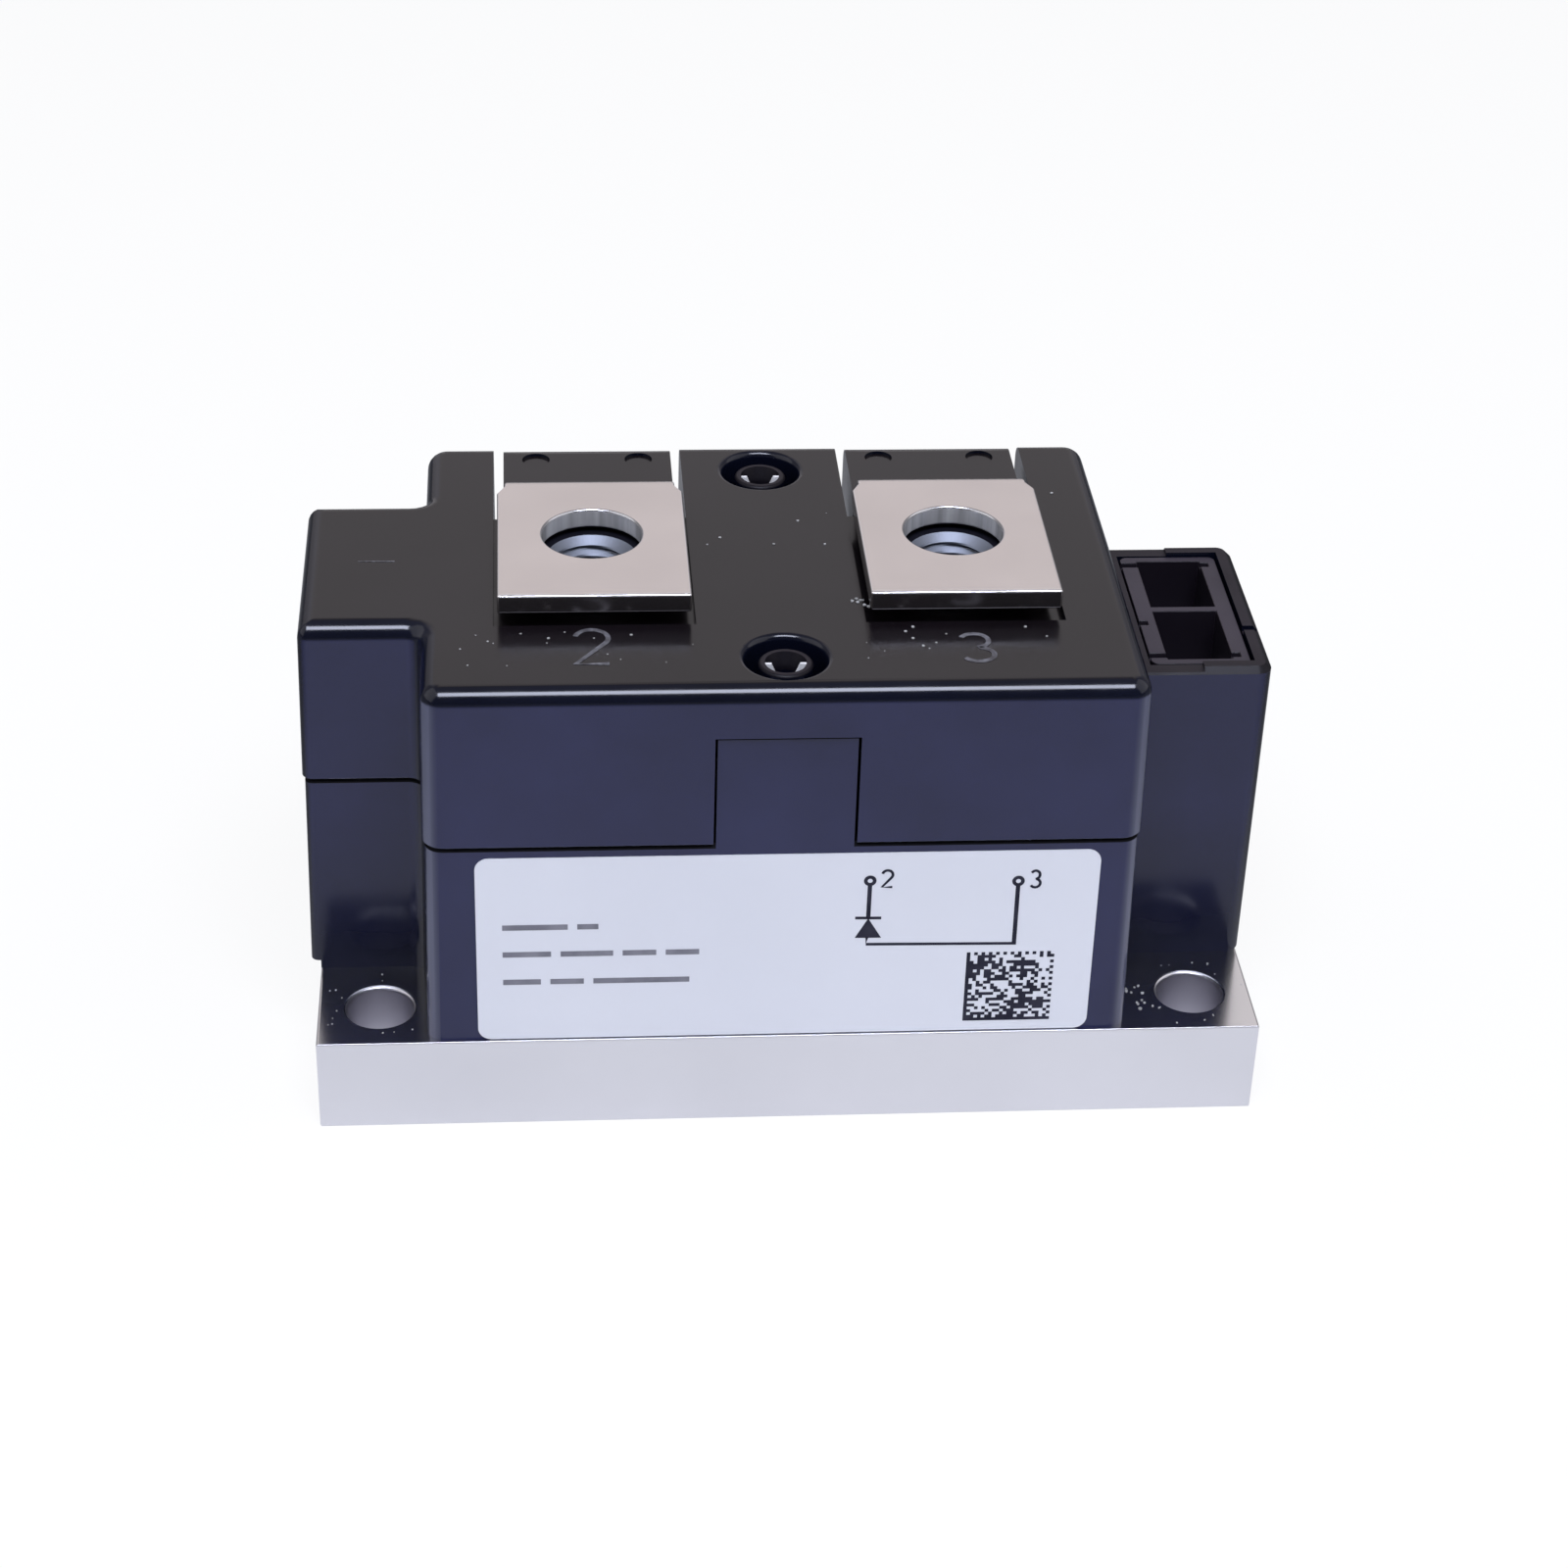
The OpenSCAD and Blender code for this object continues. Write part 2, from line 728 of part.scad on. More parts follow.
module housing_frame() {
    color(housing_black) {
        difference() {
            union() {
                frame_form();
                socket_block();
            }
            cavity(base_top - cut, seam_z + cut);
            end_cavity(base_top + wall, seam_z + cut);
            span([end_block_left - cut, -body_width, base_top - cut],
                 [-base_length / 2, body_width, base_top + end_block_rise]);
            translate([housing_offset, 0, base_top - cut])
                linear_extrude(bead_height + cut) bead_plan();
        }
        frame_tongues();
        frame_posts();
    }
}

// Solid stretches that stay inside the cover: round the nuts, the slots and the posts
module cover_ribs() {
    half_slot = slot_width / 2 + wall / 2;
    for (x = terminal_x) {
        span([x - half_slot, -well_front - wall, nut_block_floor],
             [x + half_slot, slot_front, housing_top]);
        for (side = [-1, 1])
            span([x + side * (slot_width / 2 + wall / 4) - wall / 4, slot_front - cut, seam_z],
                 [x + side * (slot_width / 2 + wall / 4) + wall / 4, body_width / 2, housing_top]);
    }
    for (place = post_places)
        translate([place[0], place[1], shoulder_z])
            cylinder(d = recess_d + wall, h = housing_top - shoulder_z);
}

// What is cut out of the cover for one terminal and its nut
module terminal_cuts() {
    nut_r = (nut_flats / 2 + nut_clearance) / cos(30);
    span([-slot_width / 2, -well_front, housing_top - well_depth],
         [slot_width / 2, leg_back, housing_top + cut]);
    span([-slot_width / 2, slot_front, seam_z - cut],
         [slot_width / 2, body_width / 2 + cut, housing_top + cut]);
    translate([0, 0, nut_bottom]) cylinder(r = nut_r, h = tab_top - nut_bottom, $fn = 6);
    translate([0, 0, bolt_room_floor]) cylinder(d = bolt_room_d, h = bolt_room + cut);
}

// Half section of a recess with its rounded mouth
module recess_section() {
    inside = recess_d / 2;
    difference() {
        union() {
            translate([0, recess_bottom]) square([inside, recess_depth + cut]);
            translate([0, housing_top - recess_round])
                square([inside + recess_round, recess_round + cut]);
        }
        translate([inside + recess_round, housing_top - recess_round]) circle(recess_round);
    }
}

module housing_cover() {
    notch_half = front_tongue_width / 2 + tongue_gap;
    color(housing_black) difference() {
        cover_form();
        difference() {
            cavity(seam_z - cut, ceiling_z);
            cover_ribs();
        }
        end_cavity(seam_z - cut, ceiling_z);
        for (x = terminal_x) translate([x, 0, 0]) terminal_cuts();
        for (place = post_places) translate([place[0], place[1], 0]) {
            rotate_extrude() recess_section();
            translate([0, 0, shoulder_z - cut])
                cylinder(d = post_d + 2 * post_clearance, h = recess_floor + 2 * cut);
            translate([0, 0, seam_z - cut])
                cylinder(d = post_shoulder_d + 2 * post_clearance, h = shoulder_z - seam_z + cut);
        }
        span([housing_offset - notch_half, -body_width / 2 - cut, seam_z - cut],
             [housing_offset + notch_half, -cavity_width / 2 + tongue_gap,
              seam_z + front_tongue_rise + tongue_gap]);
    }
}

// The socket insert: two long strips and three cross walls round two pockets
module socket_insert() {
    length = insert_right - insert_left - 2 * insert_gap;
    half = insert_half_width - insert_gap;
    left = insert_left + insert_gap;
    right = insert_right - insert_gap;
    insert_top = insert_floor + insert_height;
    pocket_width = half - 1.5 * insert_cross_wall;
    color(housing_black) difference() {
        translate([(left + right) / 2, 0, insert_floor])
            linear_extrude(insert_height) rounded_rectangle(length, 2 * half, insert_r);
        for (y = [-half + insert_cross_wall, insert_cross_wall / 2])
            span([left + insert_strip, y, pocket_floor],
                 [right - insert_strip, y + pocket_width, insert_top + cut]);
        for (side = [-1, 1])
            insert_notch(left - cut, left + insert_strip + cut, side * (half - 2 * notch_width));
        insert_notch(left - cut, left + insert_strip / 2, -half / 4);
        for (side = [-1, 1])
            insert_notch(right - insert_strip - cut, right - insert_strip / 2,
                         side * (half - 2 * notch_width));
    }
}

// A small notch across a strip of the insert
module insert_notch(from, to, y) {
    insert_top = insert_floor + insert_height;
    span([from, y - notch_width / 2, insert_top - notch_depth],
         [to, y + notch_width / 2, insert_top + cut]);
}

// A hexagon nut with turned chamfers and countersunk thread mouths
module nut() {
    flat_r = nut_flats / 2;
    point_r = flat_r / cos(30);
    bevel = (point_r - flat_r) * tan(30);
    bore_r = nut_bore_d / 2;
    mouth_r = bore_r + nut_countersink;
    difference() {
        intersection() {
            cylinder(r = point_r, h = nut_height, $fn = 6);
            rotate_extrude()
                polygon([[0, 0], [flat_r, 0], [point_r, bevel], [point_r, nut_height - bevel],
                         [flat_r, nut_height], [0, nut_height]]);
        }
        rotate_extrude()
            polygon([[0, -cut], [mouth_r, -cut], [mouth_r, 0], [bore_r, nut_countersink],
                     [bore_r, nut_height - nut_countersink], [mouth_r, nut_height],
                     [mouth_r, nut_height + cut], [0, nut_height + cut]]);
    }
}

module terminal_nuts() {
    color(zinc) for (x = terminal_x) translate([x, 0, nut_bottom]) nut();
}

// The label lies on the frame's sloping front face
module front_label() {
    slope = atan(side_draft_depth / housing_height);
    face_y = -(body_width / 2 - cover_lip);
    label_left = body_left + label_left_margin;
    label_right = body_right - label_right_margin;
    label_length = label_right - label_left;
    label_height = seam_height / cos(slope) - label_foot - label_gap;
    color([0.84, 0.86, 0.93]) translate([(label_left + label_right) / 2, face_y, base_top])
        rotate([90 - slope, 0, 0]) translate([0, label_foot + label_height / 2, 0])
            linear_extrude(label_thickness) rounded_rectangle(label_length, label_height, label_r);
}

base_plate();
base_seal();
substrate_solder();
substrate_back_copper();
substrate_ceramic();
cathode_land();
anode_land();
lower_moly_plate();
diode_chip();
upper_moly_plate();
anode_clip();
cathode_terminal();
anode_terminal();
soft_gel();
hard_resin();
housing_frame();
housing_cover();
socket_insert();
terminal_nuts();
front_label();
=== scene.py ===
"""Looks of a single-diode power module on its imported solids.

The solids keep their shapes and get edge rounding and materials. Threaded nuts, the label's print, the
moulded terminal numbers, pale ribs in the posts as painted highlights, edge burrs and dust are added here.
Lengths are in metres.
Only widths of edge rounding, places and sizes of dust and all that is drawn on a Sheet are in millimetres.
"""
import math
import random

import bpy
from mathutils import Matrix, Vector


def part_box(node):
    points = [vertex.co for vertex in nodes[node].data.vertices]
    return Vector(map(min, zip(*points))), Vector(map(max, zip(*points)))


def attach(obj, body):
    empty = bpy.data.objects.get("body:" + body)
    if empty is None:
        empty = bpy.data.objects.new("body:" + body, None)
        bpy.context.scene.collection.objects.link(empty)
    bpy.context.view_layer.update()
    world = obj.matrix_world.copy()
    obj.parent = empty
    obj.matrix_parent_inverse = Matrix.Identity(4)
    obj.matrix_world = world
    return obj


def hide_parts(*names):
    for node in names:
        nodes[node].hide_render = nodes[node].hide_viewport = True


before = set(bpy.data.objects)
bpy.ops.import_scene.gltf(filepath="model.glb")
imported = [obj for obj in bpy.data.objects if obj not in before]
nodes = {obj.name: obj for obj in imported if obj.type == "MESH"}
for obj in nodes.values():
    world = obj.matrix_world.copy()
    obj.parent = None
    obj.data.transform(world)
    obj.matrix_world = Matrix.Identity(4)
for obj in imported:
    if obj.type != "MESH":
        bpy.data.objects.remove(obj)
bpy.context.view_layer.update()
MM = 0.001

# Places that the materials and the added pieces share
BODY_MIDDLE = -1.325 * MM
TERMINAL_REACH = 17.5 * MM
POST_REACH = 18.5 * MM
BOLT_REACH_X = 40 * MM
BOLT_REACH_Y = 19 * MM


# Node graphs

def add(tree, kind, **settings):
    """A new shader node with attributes set by name."""
    made = tree.nodes.new(kind)
    for name, value in settings.items():
        setattr(made, name, value)
    return made


def start(name, roughness, metallic=0.0):
    """A material with its tree, its shader and its object coordinates."""
    made = bpy.data.materials.new(name)
    made.use_nodes = True
    tree = made.node_tree
    shader = tree.nodes["Principled BSDF"]
    shader.inputs["Roughness"].default_value = roughness
    shader.inputs["Metallic"].default_value = metallic
    coords = add(tree, "ShaderNodeTexCoord")
    return made, tree, shader, coords.outputs["Object"]


def fill(tree, socket, value):
    """Links a socket to another one, or sets it to a number or a colour."""
    if isinstance(value, bpy.types.NodeSocket):
        tree.links.new(value, socket)
    elif isinstance(value, tuple):
        socket.default_value = (*value, 1.0)
    else:
        socket.default_value = value


def noise(tree, place, scale, detail, stretch=None):
    """Noise over the object, stretched by an optional scale on each axis."""
    if stretch is not None:
        mapping = add(tree, "ShaderNodeMapping")
        mapping.inputs["Scale"].default_value = stretch
        tree.links.new(place, mapping.inputs["Vector"])
        place = mapping.outputs["Vector"]
    made = add(tree, "ShaderNodeTexNoise")
    made.inputs["Scale"].default_value = scale
    made.inputs["Detail"].default_value = detail
    tree.links.new(place, made.inputs["Vector"])
    return made.outputs["Fac"]


def ranged(tree, value, low, high, to_low, to_high):
    """A value's range moved onto another range, clamped."""
    made = add(tree, "ShaderNodeMapRange")
    for name, number in zip(("From Min", "From Max", "To Min", "To Max"), (low, high, to_low, to_high)):
        made.inputs[name].default_value = number
    tree.links.new(value, made.inputs["Value"])
    return made.outputs["Result"]


def cloud(tree, place, scale, detail, spread=0.2, stretch=None):
    """A share that drifts from 0 to 1 over the object, more abruptly with a smaller spread."""
    drift = noise(tree, place, scale, detail, stretch)
    return ranged(tree, drift, 0.5 - spread, 0.5 + spread, 0.0, 1.0)


def mixed(tree, share, first, second):
    """Two colours, each a value or a socket, mixed by a share."""
    made = add(tree, "ShaderNodeMix", data_type="RGBA")
    tree.links.new(share, made.inputs["Factor"])
    fill(tree, made.inputs[6], first)
    fill(tree, made.inputs[7], second)
    return made.outputs[2]


def mixed_shaders(tree, share, first, second):
    """Two shaders mixed by a share."""
    made = add(tree, "ShaderNodeMixShader")
    for socket, value in zip(made.inputs, (share, first, second)):
        tree.links.new(value, socket)
    return made.outputs[0]


def maths(tree, operation, first, second=None):
    """A sum, a product or another operation of one or two values."""
    made = add(tree, "ShaderNodeMath", operation=operation)
    fill(tree, made.inputs[0], first)
    if second is not None:
        fill(tree, made.inputs[1], second)
    return made.outputs[0]


def product(tree, first, *others):
    """Several values multiplied."""
    for other in others:
        first = maths(tree, "MULTIPLY", first, other)
    return first


def split(tree, place):
    """The three coordinates of a place or a direction."""
    made = add(tree, "ShaderNodeSeparateXYZ")
    tree.links.new(place, made.inputs[0])
    return made.outputs


def facing(tree, axis, low, high):
    """A share that rises from 0 to 1 as the face's normal turns along an axis."""
    geometry = add(tree, "ShaderNodeNewGeometry")
    return ranged(tree, split(tree, geometry.outputs["Normal"])[axis], low, high, 0.0, 1.0)


def off_middle(tree, value, middle):
    """Distance of a coordinate from a middle."""
    return maths(tree, "ABSOLUTE", maths(tree, "SUBTRACT", value, middle))


def hole_distance(tree, place, middle, reach_x, reach_y):
    """Distance from the nearest of a row or a rectangle of upright hole axes."""
    x, y, _ = split(tree, place)
    along = maths(tree, "SUBTRACT", off_middle(tree, x, middle), reach_x)
    across = maths(tree, "SUBTRACT", maths(tree, "ABSOLUTE", y), reach_y)
    squares = maths(tree, "ADD", product(tree, along, along), product(tree, across, across))
    return maths(tree, "SQRT", squares)


def bumped(tree, shader, height, strength):
    """Fine relief on the shader's normal."""
    made = add(tree, "ShaderNodeBump")
    made.inputs["Strength"].default_value = strength
    made.inputs["Distance"].default_value = RELIEF_DEPTH
    tree.links.new(height, made.inputs["Height"])
    tree.links.new(made.outputs["Normal"], shader.inputs["Normal"])


# Materials

RELIEF_DEPTH = 0.02 * MM
# A pale blue-grey on the upright front corners: a painted highlight
PAINTED_CORNER_HIGHLIGHT = (0.070, 0.075, 0.120)
BORE_METALLIC = 0.3

# Shares of a colour in its clouds and streaks
PLASTIC_SHADES = (0.85, 1.15)
PLATED_SHADE = 0.93
METAL_SHADE = 0.9
STREAK_SHADE = 0.6

# How far wear and clouds change a roughness
POLISHED = 0.03
WORN = 0.05
CLOUDED = 0.05

# How much of the front's painted blue is left at the blocks' feet: a painted shade, darker towards the bottom
FOOT_SHADE_SHARE = 0.15

# Where a share begins to change and where it stops, as a coordinate, a radius or a part of a normal
BODY_FRONT = (-23.4 * MM, -24.2 * MM)
BODY_CORNER = (-20.5 * MM, -21.5 * MM)
BLOCK_FRONT = (-11.2 * MM, -11.9 * MM)
BLOCK_START = (33.5 * MM, 34.5 * MM)
BLOCK_FOOT = (12.0 * MM, 28.0 * MM)
BOLT_HOLE_RIM = (3.3 * MM, 3.6 * MM)
TAB_HOLE_RIM = (5.2 * MM, 5.4 * MM)
UPRIGHT = (0.2, 0.05)
LEVEL = (0.8, 0.95)
PLASTIC_TOP = (0.95, 0.995)
STRIP_TOP = (0.9, 0.985)
STRIP_SLOPE = (0.15, 0.4)
STRIP_WALL = (0.4, 0.15)
LOOKS_AHEAD = (-0.7, -0.97)
TURNS_AHEAD = (-0.2, -0.5)
SHORT_OF_AHEAD = (-0.98, -0.8)


def scaled(colour, share):
    """A colour made darker or lighter."""
    return tuple(share * c for c in colour)


def painted_front_reflection(tree, place):
    """Where a bluish reflection is painted: 1 on the outer faces that look to the front, less at the blocks'
    feet where a shade is painted, 0 on the others.
    """
    x, y, z = split(tree, place)
    body = ranged(tree, y, *BODY_FRONT, 0.0, 1.0)
    ends = ranged(tree, off_middle(tree, x, BODY_MIDDLE), *BLOCK_START, 0.0, 1.0)
    # Painted shade: the front's painted blue fades towards the blocks' feet
    foot = ranged(tree, z, *BLOCK_FOOT, FOOT_SHADE_SHARE, 1.0)
    blocks = product(tree, ends, foot, ranged(tree, y, *BLOCK_FRONT, 0.0, 1.0))
    ahead = product(tree, facing(tree, "Z", *UPRIGHT), facing(tree, "Y", *LOOKS_AHEAD))
    return product(tree, ahead, maths(tree, "MAXIMUM", body, blocks))


def painted_corner_highlight(tree, place):
    """Where a highlight is painted: 1 on the upright rounded corners beside the front, 0 on the others."""
    _, y, _ = split(tree, place)
    near = product(tree, ranged(tree, y, *BODY_CORNER, 0.0, 1.0), facing(tree, "Z", *UPRIGHT))
    turned = product(tree, facing(tree, "Y", *TURNS_AHEAD), facing(tree, "Y", *SHORT_OF_AHEAD))
    return product(tree, near, turned)


def plastic(name, upper, front, edge, roughness, grain, gloss):
    """Moulded black plastic: fine grain, slow colour drift, a painted bluish reflection on the front, dark
    edges as painted shade and painted highlights on the front corners.
    """
    made, tree, shader, place = start(name, roughness)
    flat = facing(tree, "Z", *PLASTIC_TOP)
    ahead = painted_front_reflection(tree, place)
    corner = painted_corner_highlight(tree, place)
    shades = []
    for share in PLASTIC_SHADES:
        dark, blue, upper_shade = (scaled(colour, share) for colour in (edge, front, upper))
        side_shade = mixed(tree, corner, mixed(tree, ahead, dark, blue), PAINTED_CORNER_HIGHLIGHT)
        shades.append(mixed(tree, flat, side_shade, upper_shade))
    drift = cloud(tree, place, scale=60.0, detail=3.0, spread=0.15)
    worn = cloud(tree, place, scale=210.0, detail=5.0)
    rough = ranged(tree, worn, 0.0, 1.0, roughness - POLISHED, roughness + WORN)
    fill(tree, shader.inputs["Base Color"], mixed(tree, drift, *shades))
    fill(tree, shader.inputs["Roughness"], rough)
    shader.inputs["Specular IOR Level"].default_value = gloss
    bumped(tree, shader, noise(tree, place, scale=2600.0, detail=2.0), grain)
    return made


def plate(name, colour, hole, mirror, satin, lines):
    """Plated metal: a mirror on top, satin with fine tool lines on the sides, darker in the holes."""
    made, tree, shader, place = start(name, satin, metallic=1.0)
    shade = mixed(tree, cloud(tree, place, scale=45.0, detail=4.0), scaled(colour, PLATED_SHADE), colour)
    distance = hole_distance(tree, place, 0.0, BOLT_REACH_X, BOLT_REACH_Y)
    inside = ranged(tree, distance, *BOLT_HOLE_RIM, 1.0, 0.0)
    fill(tree, shader.inputs["Base Color"], mixed(tree, inside, shade, hole))
    fill(tree, shader.inputs["Roughness"], ranged(tree, facing(tree, "Z", *LEVEL), 0.0, 1.0, satin, mirror))
    bumped(tree, shader, noise(tree, place, scale=1.0, detail=6.0, stretch=lines), strength=0.05)
    return made


def strip_plating(name, upper, edge, side, bore, roughness, edge_roughness):
    """Plated strip: satin faces, burnished edges, dark sheared sides (a dull sheared finish, darkened further
    as painted shade) and a dull punched hole.
    """
    made, tree, shader, place = start(name, roughness, metallic=1.0)
    face = mixed(tree, cloud(tree, place, scale=90.0, detail=5.0), scaled(upper, PLATED_SHADE), upper)
    flat = facing(tree, "Z", *STRIP_TOP)
    sloped = facing(tree, "Z", *STRIP_SLOPE)
    distance = hole_distance(tree, place, BODY_MIDDLE, TERMINAL_REACH, 0.0)
    inside = ranged(tree, distance, *TAB_HOLE_RIM, 1.0, 0.0)
    punched = product(tree, inside, facing(tree, "Z", *STRIP_WALL))
    rim = mixed(tree, flat, mixed(tree, inside, edge, bore), face)
    streak = cloud(tree, place, scale=900.0, detail=2.0, spread=0.15, stretch=(1.0, 1.0, 0.05))
    wall = mixed(tree, streak, scaled(bore, STREAK_SHADE), bore)
    # The sheared sides' dark colour is partly painted shade
    colour = mixed(tree, sloped, mixed(tree, punched, side, wall), rim)
    fill(tree, shader.inputs["Base Color"], colour)
    fill(tree, shader.inputs["Roughness"], ranged(tree, flat, 0.0, 1.0, edge_roughness, roughness))
    fill(tree, shader.inputs["Metallic"], ranged(tree, punched, 0.0, 1.0, 1.0, BORE_METALLIC))
    bumped(tree, shader, noise(tree, place, scale=1500.0, detail=3.0), strength=0.06)
    return made


def satin_metal(name, colour, roughness, scale, relief):
    """Satin metal with a cloudy finish and fine relief."""
    made, tree, shader, place = start(name, roughness, metallic=1.0)
    drift = cloud(tree, place, scale, detail=5.0)
    rough = ranged(tree, drift, 0.0, 1.0, roughness + CLOUDED, roughness - CLOUDED)
    fill(tree, shader.inputs["Base Color"], mixed(tree, drift, scaled(colour, METAL_SHADE), colour))
    fill(tree, shader.inputs["Roughness"], rough)
    bumped(tree, shader, noise(tree, place, scale=1500.0, detail=3.0), relief)
    return made


def nut_plating(name, colour, shaded_flat_colour, roughness):
    """Zinc plate with its flat faces painted dark, a painted shade."""
    made, tree, shader, place = start(name, roughness, metallic=1.0)
    bright = mixed(tree, cloud(tree, place, scale=200.0, detail=5.0), scaled(colour, METAL_SHADE), colour)
    fill(tree, shader.inputs["Base Color"], mixed(tree, facing(tree, "Z", *LEVEL), bright, shaded_flat_colour))
    bumped(tree, shader, noise(tree, place, scale=1500.0, detail=3.0), strength=0.04)
    return made


def matt(name, first, second, roughness, scale, relief, gloss=0.5):
    """A dull material with two close shades."""
    made, tree, shader, place = start(name, roughness)
    drift = cloud(tree, place, scale, detail=4.0, spread=0.15)
    fill(tree, shader.inputs["Base Color"], mixed(tree, drift, first, second))
    shader.inputs["Specular IOR Level"].default_value = gloss
    bumped(tree, shader, noise(tree, place, scale=1200.0, detail=3.0), relief)
    return made


# Painted shade: a dull black for the parting groove's flank, where shade falls under the cover's lip
GROOVE_SHADE_BLACK = (0.004, 0.004, 0.006)
# Painted shade: the socket insert's upright walls and pockets are much darker than its level faces
SOCKET_WALL_SHADE = (0.006, 0.004, 0.008)
# In the plastics, front is a painted bluish reflection on the outer front faces. Edge, the colour of rounded
# edges and other upright faces, is a painted shade on the rounded edges.
housing_plastic = plastic(
    "housing_plastic", upper=(0.006, 0.0045, 0.006), front=(0.013, 0.015, 0.051), edge=(0.003, 0.004, 0.011),
    roughness=0.16, grain=0.06, gloss=0.38)
block_plastic = plastic(
    "block_plastic", upper=(0.016, 0.013, 0.018), front=(0.013, 0.015, 0.049), edge=(0.005, 0.004, 0.007),
    roughness=0.45, grain=0.10, gloss=0.16)
groove_shade_plastic = plastic(
    "groove_shade_plastic", upper=GROOVE_SHADE_BLACK, front=GROOVE_SHADE_BLACK, edge=GROOVE_SHADE_BLACK,
    roughness=0.6, grain=0.10, gloss=0.05)
socket_plastic = plastic(
    "socket_plastic", upper=(0.034, 0.028, 0.040), front=SOCKET_WALL_SHADE, edge=SOCKET_WALL_SHADE,
    roughness=0.45, grain=0.12, gloss=0.3)
nickel = plate(
    "nickel_plating", colour=(0.755, 0.75, 0.76), hole=(0.52, 0.51, 0.55),
    mirror=0.17, satin=0.34, lines=(60.0, 60.0, 5200.0))
plating = strip_plating(
    "terminal_plating", upper=(0.79, 0.735, 0.715), edge=(0.95, 0.93, 0.94), side=(0.30, 0.28, 0.28),
    bore=(0.55, 0.55, 0.57), roughness=0.26, edge_roughness=0.24)
zinc = nut_plating(
    "zinc_plating", colour=(0.205, 0.222, 0.258), shaded_flat_colour=(0.03, 0.03, 0.045), roughness=0.58)

# Metals: colour, roughness, scale of the clouds and strength of the relief
bright_edge = satin_metal("sheared_edge", (0.86, 0.85, 0.86), 0.22, 400.0, 0.10)
silicon = satin_metal("silicon", (0.17, 0.19, 0.23), 0.15, 60.0, 0.01)
molybdenum = satin_metal("molybdenum", (0.36, 0.37, 0.39), 0.35, 200.0, 0.05)
solder = satin_metal("solder", (0.52, 0.53, 0.55), 0.4, 300.0, 0.10)
copper = satin_metal("bare_copper", (0.72, 0.34, 0.20), 0.3, 120.0, 0.05)

# Dull materials: two shades, roughness, scale of the clouds and strength of the relief
label_film = matt("label_film", (0.597, 0.610, 0.672), (0.627, 0.640, 0.703), 0.42, 30.0, 0.02)
ink = matt("label_ink", (0.014, 0.014, 0.026), (0.026, 0.026, 0.042), 0.6, 500.0, 0.02, gloss=0.1)
grey_ink = matt("label_grey_ink", (0.150, 0.150, 0.180), (0.200, 0.200, 0.235), 0.6, 500.0, 0.02, gloss=0.1)
mark_plastic = matt("scuffed_mark", (0.040, 0.038, 0.044), (0.160, 0.160, 0.185), 0.5, 1500.0, 0.10)
dust = matt("dust", (0.26, 0.26, 0.26), (0.50, 0.50, 0.52), 0.8, 900.0, 0.2)
# A painted highlight: pale plastic for the ribs in the posts
rib_highlight_plastic = matt("rib_highlight_plastic", (0.74, 0.74, 0.78), (0.80, 0.80, 0.84), 0.35, 300.0, 0.05)
bead = matt("sealing_bead", (0.48, 0.48, 0.45), (0.55, 0.55, 0.52), 0.5, 300.0, 0.05)
ceramic = matt("ceramic", (0.80, 0.80, 0.77), (0.85, 0.85, 0.82), 0.6, 250.0, 0.05)
gel = matt("soft_gel", (0.55, 0.58, 0.56), (0.60, 0.63, 0.61), 0.15, 80.0, 0.01)
resin = matt("hard_resin", (0.020, 0.020, 0.022), (0.030, 0.030, 0.033), 0.35, 120.0, 0.05)

FINISHES = {
    "base_plate": nickel,
    "base_seal": bead,
    "substrate_solder": solder,
    "substrate_back_copper": copper,
    "substrate_ceramic": ceramic,
    "cathode_land": copper,
    "anode_land": copper,
    "lower_moly_plate": molybdenum,
    "diode_chip": silicon,
    "upper_moly_plate": molybdenum,
    "anode_clip": copper,
    "cathode_terminal": plating,
    "anode_terminal": plating,
    "soft_gel": gel,
    "hard_resin": resin,
    "housing_frame": housing_plastic,
    "housing_cover": housing_plastic,
    "socket_insert": socket_plastic,
    "terminal_nuts": zinc,
    "front_label": label_film,
}
for name, finish in FINISHES.items():
    nodes[name].data.materials.clear()
    nodes[name].data.materials.append(finish)

# The duller rim of the socket block and tops of the posts, and the dull black flank of the parting groove as
# a painted shade
POST_RADIUS = 2.7 * MM
POST_TOP_FROM = 46.5 * MM
SOCKET_BLOCK_FROM = 33.1 * MM
SOCKET_RIM_FROM = 36 * MM
GROOVE_LOW = 31.4 * MM
GROOVE_HIGH = 32.1 * MM
RISING = 0.3
NEARLY_LEVEL = 0.95
frame_mesh = nodes["housing_frame"].data
frame_mesh.materials.append(block_plastic)
frame_mesh.materials.append(groove_shade_plastic)
for polygon in frame_mesh.polygons:
    centre = polygon.center
    from_post = math.hypot(centre.x - BODY_MIDDLE, abs(centre.y) - POST_REACH)
    post_top = from_post < POST_RADIUS and centre.z > POST_TOP_FROM
    socket_rim = centre.x > SOCKET_BLOCK_FROM and centre.z > SOCKET_RIM_FROM
    if (post_top or socket_rim) and polygon.normal.z > RISING:
        polygon.material_index = 1
    elif GROOVE_LOW < centre.z < GROOVE_HIGH and RISING < polygon.normal.z < NEARLY_LEVEL:
        polygon.material_index = 2


# Edge rounding on the solids

WELD_REACH = 0.002 * MM
NORMAL_WEIGHT = 80
FLAT_WITHIN = 1.0


def welded(piece):
    """Joins a solid's facets and shades them smooth."""
    piece.modifiers.new("join", "WELD").merge_threshold = WELD_REACH
    for polygon in piece.data.polygons:
        polygon.use_smooth = True


